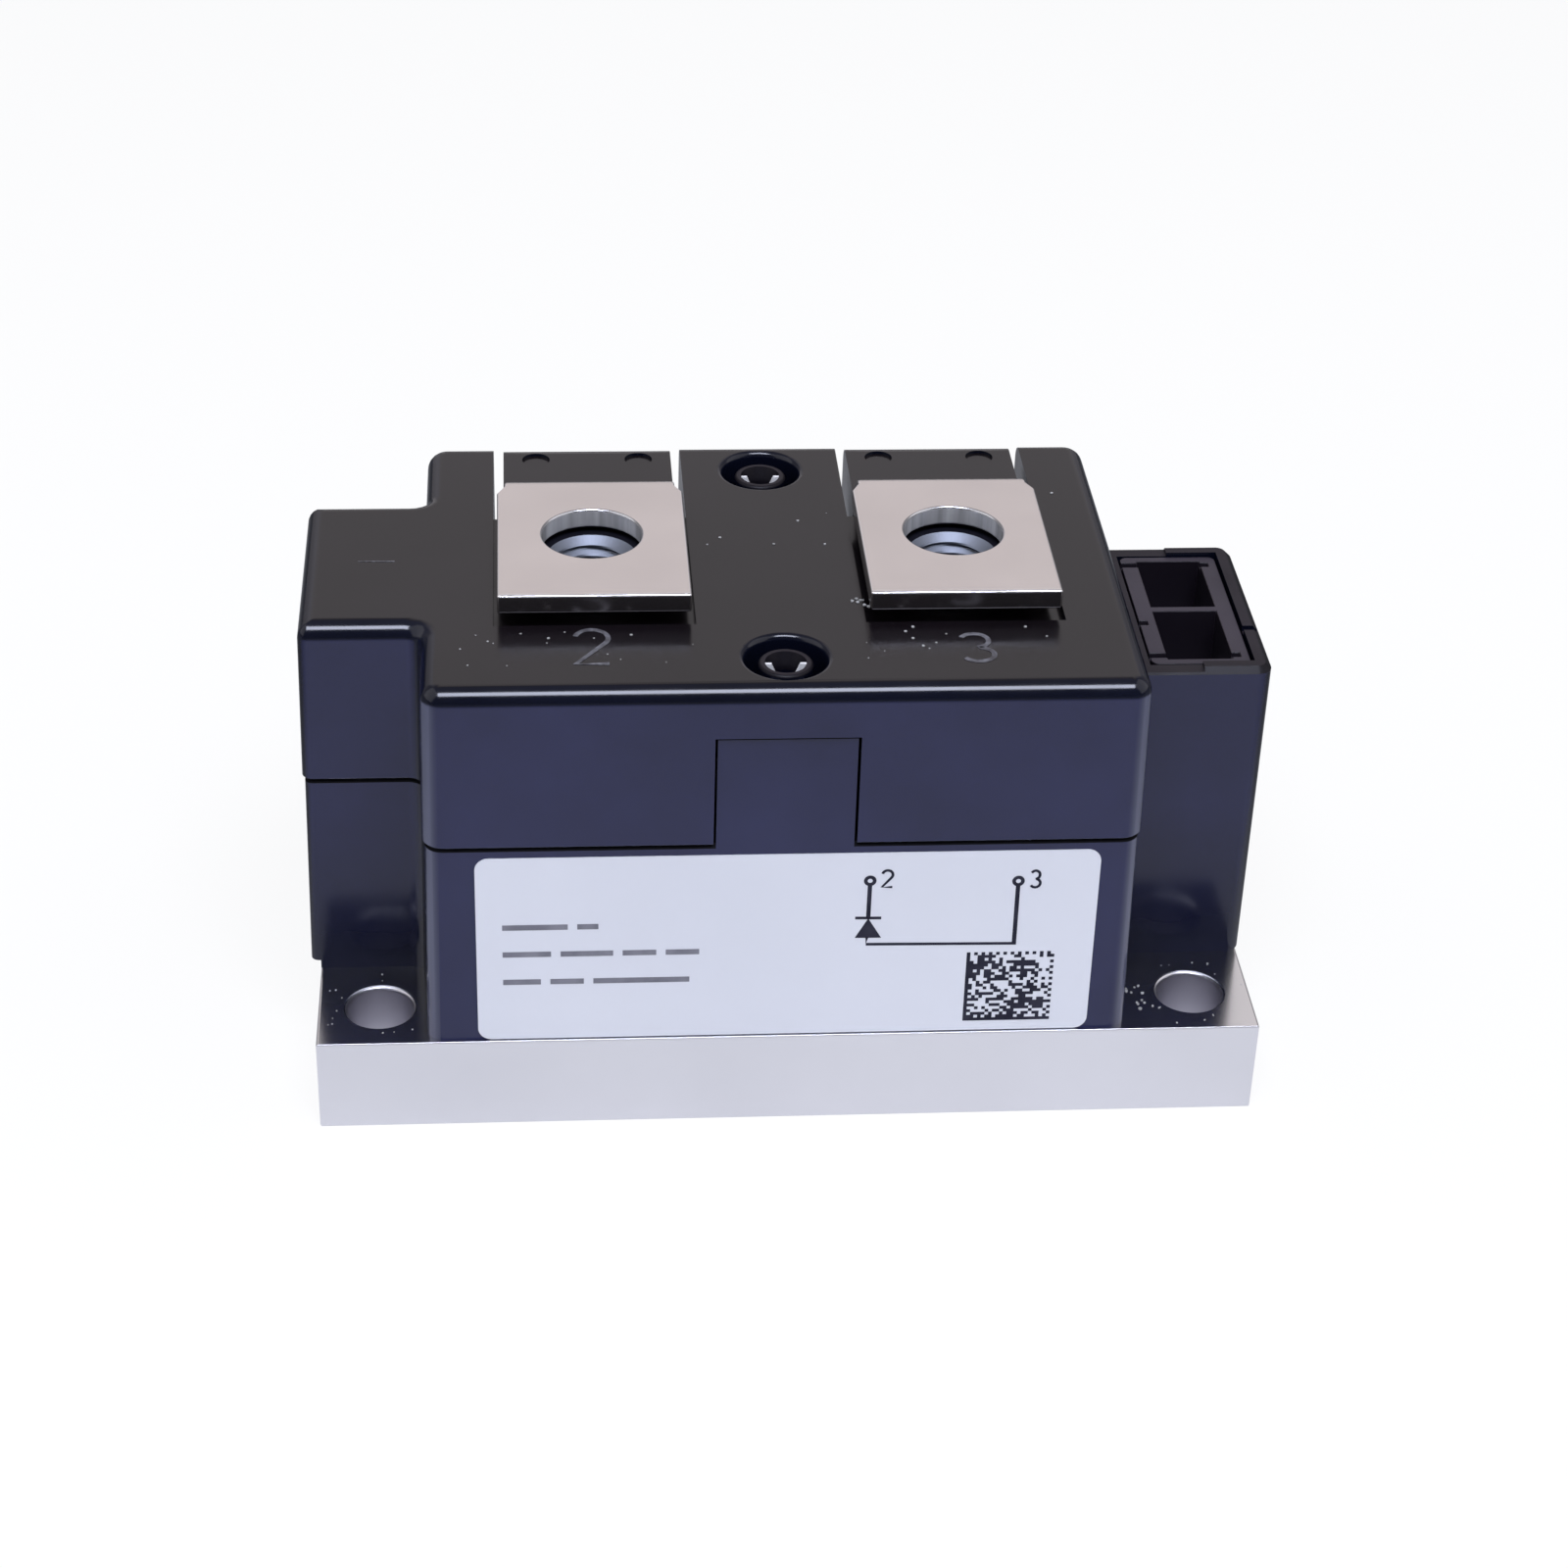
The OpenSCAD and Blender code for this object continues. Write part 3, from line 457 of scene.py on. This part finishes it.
def rounded(name, width, segments, angle):
    """Joins a solid's facets and rounds its edges that are sharper than an angle."""
    piece = nodes[name]
    welded(piece)
    flat = piece.modifiers.new("flat", "DECIMATE")
    flat.decimate_type = "DISSOLVE"
    flat.angle_limit = math.radians(FLAT_WITHIN)
    bevel = piece.modifiers.new("edges", "BEVEL")
    bevel.width = width * MM
    bevel.segments = segments
    bevel.limit_method = "ANGLE"
    bevel.angle_limit = math.radians(angle)
    bevel.use_clamp_overlap = True
    piece.modifiers.new("normals", "WEIGHTED_NORMAL").weight = NORMAL_WEIGHT


def smoothed(name, angle):
    """Joins a solid's facets and shades them smooth up to an angle, with its sharp edges kept."""
    piece = nodes[name]
    welded(piece)
    piece.modifiers.new("sharp", "EDGE_SPLIT").split_angle = math.radians(angle)
    piece.modifiers.new("normals", "WEIGHTED_NORMAL").weight = NORMAL_WEIGHT


rounded("base_plate", width=0.2, segments=3, angle=60)
rounded("cathode_terminal", width=0.28, segments=3, angle=60)
rounded("anode_terminal", width=0.28, segments=3, angle=60)
rounded("housing_cover", width=0.12, segments=2, angle=50)
smoothed("housing_frame", angle=32)
rounded("socket_insert", width=0.1, segments=2, angle=60)


# Meshes

def mesh_piece(name, points, faces, finish):
    """A new piece that rides on the module."""
    data = bpy.data.meshes.new(name)
    data.from_pydata([tuple(p) for p in points], [], faces)
    data.validate()
    data.update()
    data.materials.append(finish)
    piece = bpy.data.objects.new(name, data)
    bpy.context.scene.collection.objects.link(piece)
    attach(piece, "root")
    return piece


def joined(name, shapes, finish):
    """One piece from several point and face lists."""
    points = []
    faces = []
    for shape_points, shape_faces in shapes:
        shift = len(points)
        points += shape_points
        faces += [tuple(i + shift for i in face) for face in shape_faces]
    return mesh_piece(name, points, faces, finish)


def corners(name):
    """A node's lowest and highest corners."""
    return [Vector(c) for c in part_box(name)]


# Threaded nuts in the place of the plain ones

NUT_FLATS = 13 * MM
NUT_BORE = 3.4 * MM
NUT_THREAD = 4.0 * MM
NUT_PITCH = 1.25 * MM
NUT_MOUTH = 1.0 * MM
CREST_SHARE = 0.15
NUT_COLUMNS = 72
NUT_ROWS = 44
TURNED = 0.97 * NUT_FLATS / 2
TURNED_SLOPE = math.tan(math.radians(30))


def thread_ring(z, low, high):
    """Radius and angle round the bore at one height: a helical groove between countersunk mouths."""
    ring = []
    for i in range(NUT_COLUMNS):
        wave = abs(2 * (((z - low) / NUT_PITCH - i / NUT_COLUMNS) % 1.0) - 1)
        groove = min(max((wave - CREST_SHARE) / (1 - 2 * CREST_SHARE), 0.0), 1.0)
        countersink = NUT_BORE + NUT_MOUTH - min(z - low, high - z)
        radius = max(NUT_BORE + (NUT_THREAD - NUT_BORE) * groove, countersink)
        ring.append((radius, 2 * math.pi * i / NUT_COLUMNS, z))
    return ring


def nut_mesh(centre, low, high):
    """A hexagon nut with turned corners, countersunk mouths and a helical thread."""
    rows = [thread_ring(low + (high - low) * k / NUT_ROWS, low, high) for k in range(NUT_ROWS + 1)]
    outline = []
    for i in range(NUT_COLUMNS):
        turn = 2 * math.pi * i / NUT_COLUMNS
        from_flat = (turn + math.pi / 6) % (math.pi / 3) - math.pi / 6
        outline.append((NUT_FLATS / 2 / math.cos(from_flat), turn))
    rows.append([(TURNED, turn, high) for _, turn in outline])
    rows.append([(r, turn, high - (r - TURNED) * TURNED_SLOPE) for r, turn in outline])
    rows.append([(r, turn, low + (r - TURNED) * TURNED_SLOPE) for r, turn in outline])
    rows.append([(TURNED, turn, low) for _, turn in outline])
    points = [(centre.x + r * math.cos(t), centre.y + r * math.sin(t), z) for row in rows for r, t, z in row]
    faces = []
    for k in range(len(rows)):
        here = k * NUT_COLUMNS
        after = (k + 1) % len(rows) * NUT_COLUMNS
        for i in range(NUT_COLUMNS):
            j = (i + 1) % NUT_COLUMNS
            faces.append((here + j, here + i, after + i, after + j))
    return points, faces


nut_low, nut_high = corners("terminal_nuts")
tab_boxes = [corners(name) for name in ("cathode_terminal", "anode_terminal")]
nut_shapes = []
for tab_low, tab_high in tab_boxes:
    centre = Vector(((tab_low.x + tab_high.x) / 2, (nut_low.y + nut_high.y) / 2, 0))
    nut_shapes.append(nut_mesh(centre, nut_low.z, nut_high.z))
nuts = joined("threaded_nuts", nut_shapes, zinc)
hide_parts("terminal_nuts")


# Flat strokes for print and moulded marks

SUNK = -0.01


class Sheet:
    """A flat sheet in space: a middle, a direction to the right and one up. Sizes in millimetres."""

    def __init__(self, middle, right, up):
        self.middle = Vector(middle)
        self.right = Vector(right)
        self.up = Vector(up)
        self.out = self.right.cross(self.up)

    def at(self, u, v, h=0.0):
        return self.middle + (self.right * u + self.up * v + self.out * h) * MM


def level_sheet(x, y, z):
    """A sheet that lies level, with its right along X and its up along Y."""
    return Sheet((x, y, z), (1, 0, 0), (0, 1, 0))


def prism(sheet, outline, height):
    """A thin plate of one outline, standing on the sheet."""
    n = len(outline)
    points = [sheet.at(u, v, SUNK) for u, v in outline] + [sheet.at(u, v, height) for u, v in outline]
    faces = [tuple(range(n - 1, -1, -1)), tuple(range(n, 2 * n))]
    faces += [(i, (i + 1) % n, n + (i + 1) % n, n + i) for i in range(n)]
    return points, faces


def stroke(sheet, path, width, height, closed=False):
    """A line of one width along a path, as a thin raised strip."""
    n = len(path)
    points = []
    for i in range(n):
        before = path[i - 1] if closed or i > 0 else path[i]
        after = path[(i + 1) % n] if closed or i < n - 1 else path[i]
        along = Vector((after[0] - before[0], after[1] - before[1])).normalized()
        across = Vector((-along.y, along.x)) * width / 2
        left = (path[i][0] + across.x, path[i][1] + across.y)
        right = (path[i][0] - across.x, path[i][1] - across.y)
        points += [sheet.at(*left, SUNK), sheet.at(*right, SUNK)]
        points += [sheet.at(*right, height), sheet.at(*left, height)]
    faces = []
    for i in range(n if closed else n - 1):
        a = 4 * i
        b = 4 * ((i + 1) % n)
        for k in range(4):
            faces.append((a + k, a + (k + 1) % 4, b + (k + 1) % 4, b + k))
    if not closed:
        end = 4 * (n - 1)
        faces += [(3, 2, 1, 0), (end, end + 1, end + 2, end + 3)]
    return points, faces


def rectangle(u, v, width, height):
    """The outline of a rectangle from its lower left corner."""
    return [(u, v), (u + width, v), (u + width, v + height), (u, v + height)]


def arc(u, v, ru, rv, begin, end, steps=14):
    """Points on an arc, from one angle to another in degrees."""
    angles = [math.radians(begin + (end - begin) * i / steps) for i in range(steps + 1)]
    return [(u + ru * math.cos(a), v + rv * math.sin(a)) for a in angles]


def figure(number, u, v, width, height):
    """The path of a plain 2 or 3 about a middle."""
    half = width / 2
    if number == 2:
        bowl = arc(u, v + height / 2 - half, half, half, 165, -35)
        return bowl + [(u - half, v - height / 2), (u + half, v - height / 2)]
    upper = arc(u - 0.04 * width, v + height / 4, half * 0.9, height / 4, 150, -80)
    lower = arc(u, v - height / 4, half, height / 4, 80, -150)
    return upper + lower


# The label's print: a diode symbol with its terminal numbers, plain bars and a random code field

INK = 0.02
LINE = 0.42
THIN_LINE = 0.30
FIGURE_LINE = 0.27
RING_LINE = 0.36
RING_RADIUS = 0.42
RING_POINTS = 20

label = nodes["front_label"]
label_face = max(label.data.polygons, key=lambda p: -p.normal.y * p.area)
label_low, label_high = corners("front_label")
label_up = Vector((1, 0, 0)).cross(label_face.normal) * -1
on_face = label.data.vertices[label_face.vertices[0]].co
middle = Vector(((label_low.x + label_high.x) / 2, 0, (label_low.z + label_high.z) / 2))
middle.y = on_face.y - (middle.z - on_face.z) * label_face.normal.z / label_face.normal.y
face = Sheet(middle, (1, 0, 0), label_up)


def terminal_ring(u, v):
    """A small printed ring."""
    path = arc(u, v, RING_RADIUS, RING_RADIUS, 0, 360 - 360 / RING_POINTS, RING_POINTS - 1)
    return stroke(face, path, RING_LINE, INK, closed=True)


# The symbol's rings, lines and arrow, as points from the label's middle
CATHODE_RING = (7.67, 7.3)
CATHODE_LEAD = ((7.67, 6.82), (7.65, 3.0))
CATHODE_BAR = ((6.4, 3.06), (8.9, 3.02))
ARROW = ((6.45, 0.76), (8.98, 0.74), (7.66, 3.0))
CROSSING_LEAD = ((7.62, 0.84), (7.56, 0.0), (21.84, -0.2))
ANODE_LEAD = ((21.84, -0.35), (21.82, 6.5))
ANODE_RING = (21.82, 7.0)
symbol = [
    terminal_ring(*CATHODE_RING),
    terminal_ring(*ANODE_RING),
    stroke(face, CATHODE_LEAD, LINE, INK),
    stroke(face, CATHODE_BAR, THIN_LINE, INK),
    prism(face, ARROW, INK),
    stroke(face, CROSSING_LEAD, THIN_LINE, INK),
    stroke(face, ANODE_LEAD, LINE, INK),
    stroke(face, figure(2, 9.3, 7.5, width=1.0, height=1.9), FIGURE_LINE, INK),
    stroke(face, figure(3, 23.45, 7.2, width=0.95, height=1.9), FIGURE_LINE, INK),
]
joined("label_symbol", symbol, ink)

BAR_START = -27.1
BAR_HEIGHT = 0.6
BAR_GAP = 0.9
BAR_ROWS = ((2.6, (6.2, 2.0)), (-0.5, (4.6, 5.0, 3.2, 3.2)), (-3.7, (3.6, 3.2, 9.2)))
bars = []
for v, lengths in BAR_ROWS:
    u = BAR_START
    for length in lengths:
        bars.append(prism(face, rectangle(u, v - BAR_HEIGHT / 2, length, BAR_HEIGHT), INK))
        u += length + BAR_GAP
joined("label_lines", bars, grey_ink)

CODE_LEFT = 17.36
CODE_FOOT = -9.28
CODE_WIDTH = 8.5
CODE_HEIGHT = 8.1
CELLS = 24
FILLED_SHARE = 0.5
random.seed(7)
code = []
for row in range(CELLS):
    for column in range(CELLS):
        border = row == 0 or column == 0
        dotted = (row == CELLS - 1 and column % 2 == 0) or (column == CELLS - 1 and row % 2 == 0)
        inner = 0 < row < CELLS - 1 and 0 < column < CELLS - 1 and random.random() < FILLED_SHARE
        if border or dotted or inner:
            u = CODE_LEFT + CODE_WIDTH * column / CELLS
            v = CODE_FOOT + CODE_HEIGHT * row / CELLS
            code.append(prism(face, rectangle(u, v, CODE_WIDTH / CELLS, CODE_HEIGHT / CELLS), INK))
joined("label_code_field", code, ink)


# Moulded terminal numbers and a tool mark on the cover

MARK_LINE = 0.48
MARK_HEIGHT = 0.05
TOOL_LINE = 0.16
TOOL_LINE_HEIGHT = 0.03
TOOL_PATH = ((-41.3, 0.2), (-37.8, 0.15))
_, cover_high = corners("housing_cover")
cover_top = level_sheet(0, 0, cover_high.z)
marks = [
    stroke(cover_top, figure(2, -19.2, -16.4, width=3.1, height=6.2), MARK_LINE, MARK_HEIGHT),
    stroke(cover_top, figure(3, 16.6, -17.3, width=3.0, height=5.0), MARK_LINE, MARK_HEIGHT),
    stroke(cover_top, TOOL_PATH, TOOL_LINE, TOOL_LINE_HEIGHT),
]
joined("moulded_marks", marks, mark_plastic)


# Two pale ribs in the mouth of each post: painted highlights where the posts' mouths catch the side light

RIB_OUTLINE = ((1.92, -0.66), (1.30, -2.1), (0.72, -2.1), (1.34, -0.66))
RIB_THICKNESS = 0.3
ribs = []
for post_y in (-POST_REACH, POST_REACH):
    mouth = Sheet((BODY_MIDDLE, post_y, cover_high.z), (1, 0, 0), (0, 0, 1))
    for side in (-1, 1):
        outline = [(side * u, v) for u, v in RIB_OUTLINE]
        ribs.append(prism(mouth, outline[::side], RIB_THICKNESS))
joined("post_highlight_ribs", ribs, rib_highlight_plastic)


# Sheared burrs along the tabs' free edges

BURR_INSET = 0.2
BURR_START = 0.06
BURR_END = 0.26
BURR_UNEVEN = 0.05
BURR_STEPS = 46
BURR_HEIGHT = 0.03
burrs = []
for tab_low, tab_high in tab_boxes:
    tab_edge = level_sheet(0, tab_low.y, tab_high.z)
    burr_left = tab_low.x / MM + BURR_INSET
    burr_right = tab_high.x / MM - BURR_INSET
    rim = []
    for i in range(BURR_STEPS + 1):
        u = burr_left + (burr_right - burr_left) * i / BURR_STEPS
        rim.append((u, BURR_END + BURR_UNEVEN * random.uniform(-1, 1)))
    outline = [(burr_left, BURR_START), (burr_right, BURR_START)] + rim[::-1]
    burrs.append(prism(tab_edge, outline, BURR_HEIGHT))
joined("tab_edge_burrs", burrs, bright_edge)


# Dust on the cover and the base plate

# How many corners a fleck has, and its corners' distances and its height as shares of its size
FLECK_CORNERS = (5, 7)
FLECK_REACH = (0.6, 1.1)
FLECK_HEIGHT = 0.4


def fleck(u, v, z, size):
    """A small flat speck with an uneven outline, at a height in metres."""
    count = random.randint(*FLECK_CORNERS)
    begin = random.uniform(0, 360)
    outline = []
    for i in range(count):
        a = math.radians(begin + 360 * i / count)
        r = size * random.uniform(*FLECK_REACH)
        outline.append((r * math.cos(a), r * math.sin(a)))
    return prism(level_sheet(u * MM, v * MM, z), outline, size * FLECK_HEIGHT)


SEEN = ((-6.2, 4.3), (-1.0, 2.9), (1.7, 7.6), (10.8, -15.5), (4.0, 2.8), (6.7, -8.3), (11.6, -16.9),
        (27.8, 13.0), (-23.2, -14.8), (10.2, -14.2), (11.0, -13.4), (21.6, -13.6), (-15.5, -14.3))
SEEN_SIZE = 0.17
CLUMP = ((5.7, -8.4), (6.1, -8.0), (6.2, -8.7), (6.5, -8.3), (6.8, -9.2), (7.2, -9.5))
CLUMP_SIZE = 0.22
flecks = [fleck(u, v, cover_high.z, SEEN_SIZE) for u, v in SEEN]
flecks += [fleck(u, v, cover_high.z, CLUMP_SIZE) for u, v in CLUMP]

# Fine flecks between the terminals and along the front of the cover, clear of the posts
COVER_TRIES = 46
COVER_X = (-34.0, 31.0)
FRONT_Y = (-20.5, -13.5)
MIDDLE_Y = (-12.0, 11.0)
COVER_SIZES = (0.06, 0.13)
BETWEEN_TABS = 7.2
POST_CLEARANCE = 5.0
LEDGE_Y = -13.0
for i in range(COVER_TRIES):
    u = random.uniform(*COVER_X)
    v = random.uniform(*FRONT_Y) if i % 2 else random.uniform(*MIDDLE_Y)
    aside = abs(u - BODY_MIDDLE / MM)
    between = aside < BETWEEN_TABS and abs(abs(v) - POST_REACH / MM) > POST_CLEARANCE
    along_front = v < LEDGE_Y and aside > POST_CLEARANCE
    if between or along_front:
        flecks.append(fleck(u, v, cover_high.z, random.uniform(*COVER_SIZES)))

# Fine flecks round the front bolt holes, and coarser ones at the right foot of the frame
_, base_high = corners("base_plate")
BASE_TRIES = 60
BASE_X = (36.5, 45.5)
BASE_Y = (-24.3, -13.5)
BASE_SIZES = (0.05, 0.12)
HOLE_CLEARANCE = 4.0
for _ in range(BASE_TRIES):
    side = random.choice((-1, 1))
    u = side * random.uniform(*BASE_X)
    v = random.uniform(*BASE_Y)
    if math.hypot(u - side * BOLT_REACH_X / MM, v + BOLT_REACH_Y / MM) > HOLE_CLEARANCE:
        flecks.append(fleck(u, v, base_high.z, random.uniform(*BASE_SIZES)))
FOOT_FLECKS = 12
FOOT_X = (33.6, 36.6)
FOOT_Y = (-22.5, -17.5)
FOOT_SIZES = (0.08, 0.2)
for _ in range(FOOT_FLECKS):
    u = random.uniform(*FOOT_X)
    v = random.uniform(*FOOT_Y)
    flecks.append(fleck(u, v, base_high.z, random.uniform(*FOOT_SIZES)))
joined("dust_flecks", flecks, dust)


# Surroundings

WHITE = (1.0, 1.0, 1.0)

# The backdrop in reflections, as parts of a direction: where a share begins to change and where it stops
ROOM_REAR = (-0.7, 0.0)
BACKDROP_FROM = (0.15, 0.45)
BACKDROP_SIDE = (0.36, 0.56)
BACKDROP_TOP = (0.68, 0.86)
BACKDROP_SHADE = (0.49, 0.56)

# The pale patch of floor in reflections, from the module's middle
PATCH_SIDE = (0.07, 0.13)
PATCH_DEPTH = (0.11, 0.19)
PATCH_REAR = (-0.018, 0.0)


def ray_shares(tree):
    """1 for camera rays, and 1 for all rays that show the background: camera, glossy and transmission."""
    path = add(tree, "ShaderNodeLightPath")
    camera_ray = path.outputs["Is Camera Ray"]
    shown = maths(tree, "MAXIMUM", camera_ray, path.outputs["Is Glossy Ray"])
    return camera_ray, maths(tree, "MAXIMUM", shown, path.outputs["Is Transmission Ray"])


def emptied(tree, output):
    """Clears a node tree and gives the surface socket of a new output node."""
    tree.nodes.clear()
    return add(tree, output).inputs["Surface"]


def studio_world(reflected, ambient, ambient_strength):
    """White for the camera, a backdrop in a dim room for reflections, and plain soft light for the rest."""
    world = bpy.data.worlds.new("studio")
    bpy.context.scene.world = world
    world.use_nodes = True
    tree = world.node_tree
    surface = emptied(tree, "ShaderNodeOutputWorld")
    camera_ray, shown = ray_shares(tree)
    aside, behind, above = split(tree, add(tree, "ShaderNodeTexCoord").outputs["Generated"])
    room = ranged(tree, behind, *ROOM_REAR, 0.08, 0.3)
    wide = ranged(tree, behind, *BACKDROP_FROM, 0.0, 1.0)
    narrow = ranged(tree, maths(tree, "ABSOLUTE", aside), *BACKDROP_SIDE, 1.0, 0.2)
    tall = ranged(tree, above, *BACKDROP_TOP, 1.0, 0.0)
    deep = ranged(tree, above, *BACKDROP_SHADE, 0.70, 0.80)
    around = maths(tree, "MAXIMUM", product(tree, wide, narrow, tall, deep), room)
    seen = add(tree, "ShaderNodeBackground")
    fill(tree, seen.inputs["Color"], mixed(tree, camera_ray, reflected, WHITE))
    fill(tree, seen.inputs["Strength"], maths(tree, "MAXIMUM", around, camera_ray))
    soft = add(tree, "ShaderNodeBackground")
    fill(tree, soft.inputs["Color"], ambient)
    fill(tree, soft.inputs["Strength"], ambient_strength)
    tree.links.new(mixed_shaders(tree, shown, soft.outputs[0], seen.outputs[0]), surface)


def floor_material(reflected, lit_colour, shown_share):
    """White for the camera with the module's shadow, and a pale patch near the module for reflections."""
    made = bpy.data.materials.new("pale_floor")
    made.use_nodes = True
    tree = made.node_tree
    surface = emptied(tree, "ShaderNodeOutputMaterial")
    camera_ray, shown = ray_shares(tree)
    x, y, _ = split(tree, add(tree, "ShaderNodeNewGeometry").outputs["Position"])
    near_x = ranged(tree, maths(tree, "ABSOLUTE", x), *PATCH_SIDE, 1.0, 0.2)
    near_y = ranged(tree, maths(tree, "ABSOLUTE", y), *PATCH_DEPTH, 0.96, 0.12)
    rear = ranged(tree, y, *PATCH_REAR, 1.0, 0.25)
    near = product(tree, near_x, near_y, rear)
    white = add(tree, "ShaderNodeEmission")
    fill(tree, white.inputs["Color"], mixed(tree, camera_ray, reflected, WHITE))
    fill(tree, white.inputs["Strength"], maths(tree, "MAXIMUM", near, camera_ray))
    lit = add(tree, "ShaderNodeBsdfDiffuse")
    fill(tree, lit.inputs["Color"], lit_colour)
    share = product(tree, shown, shown_share)
    tree.links.new(mixed_shaders(tree, share, lit.outputs[0], white.outputs[0]), surface)
    return made


studio_world(reflected=(1.0, 0.95, 0.98), ambient=(0.97, 0.98, 1.0), ambient_strength=0.25)
FLOOR_HALF = 3
floor_data = bpy.data.meshes.new("floor")
floor_corners = [(x * FLOOR_HALF, y * FLOOR_HALF, 0) for x, y in ((-1, -1), (1, -1), (1, 1), (-1, 1))]
floor_data.from_pydata(floor_corners, [], [(0, 1, 2, 3)])
floor_data.materials.append(
    floor_material(reflected=(0.86, 0.88, 1.0), lit_colour=(0.92, 0.92, 0.92), shown_share=0.84))
floor = bpy.data.objects.new("floor", floor_data)
bpy.context.scene.collection.objects.link(floor)


# Lamps

LAMP_TARGET = Vector((0, 0, 0.04))


def softbox(name, place, width, height, power, colour):
    """A soft area light that looks at the module."""
    data = bpy.data.lights.new(name, "AREA")
    data.shape = "RECTANGLE"
    data.size = width
    data.size_y = height
    data.energy = power
    data.color = colour
    lamp = bpy.data.objects.new(name, data)
    lamp.location = place
    lamp.rotation_euler = (LAMP_TARGET - Vector(place)).to_track_quat("-Z", "Y").to_euler()
    bpy.context.scene.collection.objects.link(lamp)
    return lamp


softbox("main", (0.0, -0.42, 0.84), width=0.6, height=0.36, power=7.4, colour=(0.84, 0.88, 1.0))
for name, side in (("left_panel", -1), ("right_panel", 1)):
    softbox(name, (side * 0.66, -0.12, 0.52), width=0.95, height=0.9, power=2.2, colour=(0.97, 0.97, 1.0))

# A panel that shows only as a reflection
glow = softbox("main_glow", (0.0, -0.43, 0.86), width=0.6, height=0.3, power=5.0, colour=(0.70, 0.74, 1.0))
glow.visible_diffuse = False


# Camera

AZIMUTH = math.radians(-5.13)
ELEVATION = math.radians(32.9)
ROLL = math.radians(1.97)
TARGET = Vector((0.55, 0.0, 22.92)) * MM
DISTANCE = 339.97 * MM
SENSOR = 36
LENS = 77.065
ahead = Vector((-math.sin(AZIMUTH) * math.cos(ELEVATION), math.cos(AZIMUTH) * math.cos(ELEVATION),
                -math.sin(ELEVATION)))
level = ahead.cross(Vector((0, 0, 1))).normalized()
steep = level.cross(ahead)
right = level * math.cos(ROLL) + steep * math.sin(ROLL)
up = steep * math.cos(ROLL) - level * math.sin(ROLL)
eye = TARGET - ahead * DISTANCE
camera_data = bpy.data.cameras.new("camera")
camera_data.sensor_width = SENSOR
camera_data.lens = LENS
camera_data.clip_start = 0.01
camera_data.clip_end = 20
camera = bpy.data.objects.new("camera", camera_data)
camera.matrix_world = Matrix((
    (right.x, up.x, -ahead.x, eye.x),
    (right.y, up.y, -ahead.y, eye.y),
    (right.z, up.z, -ahead.z, eye.z),
    (0, 0, 0, 1)))
bpy.context.scene.collection.objects.link(camera)
bpy.context.scene.camera = camera
bpy.context.scene.view_settings.view_transform = "Standard"
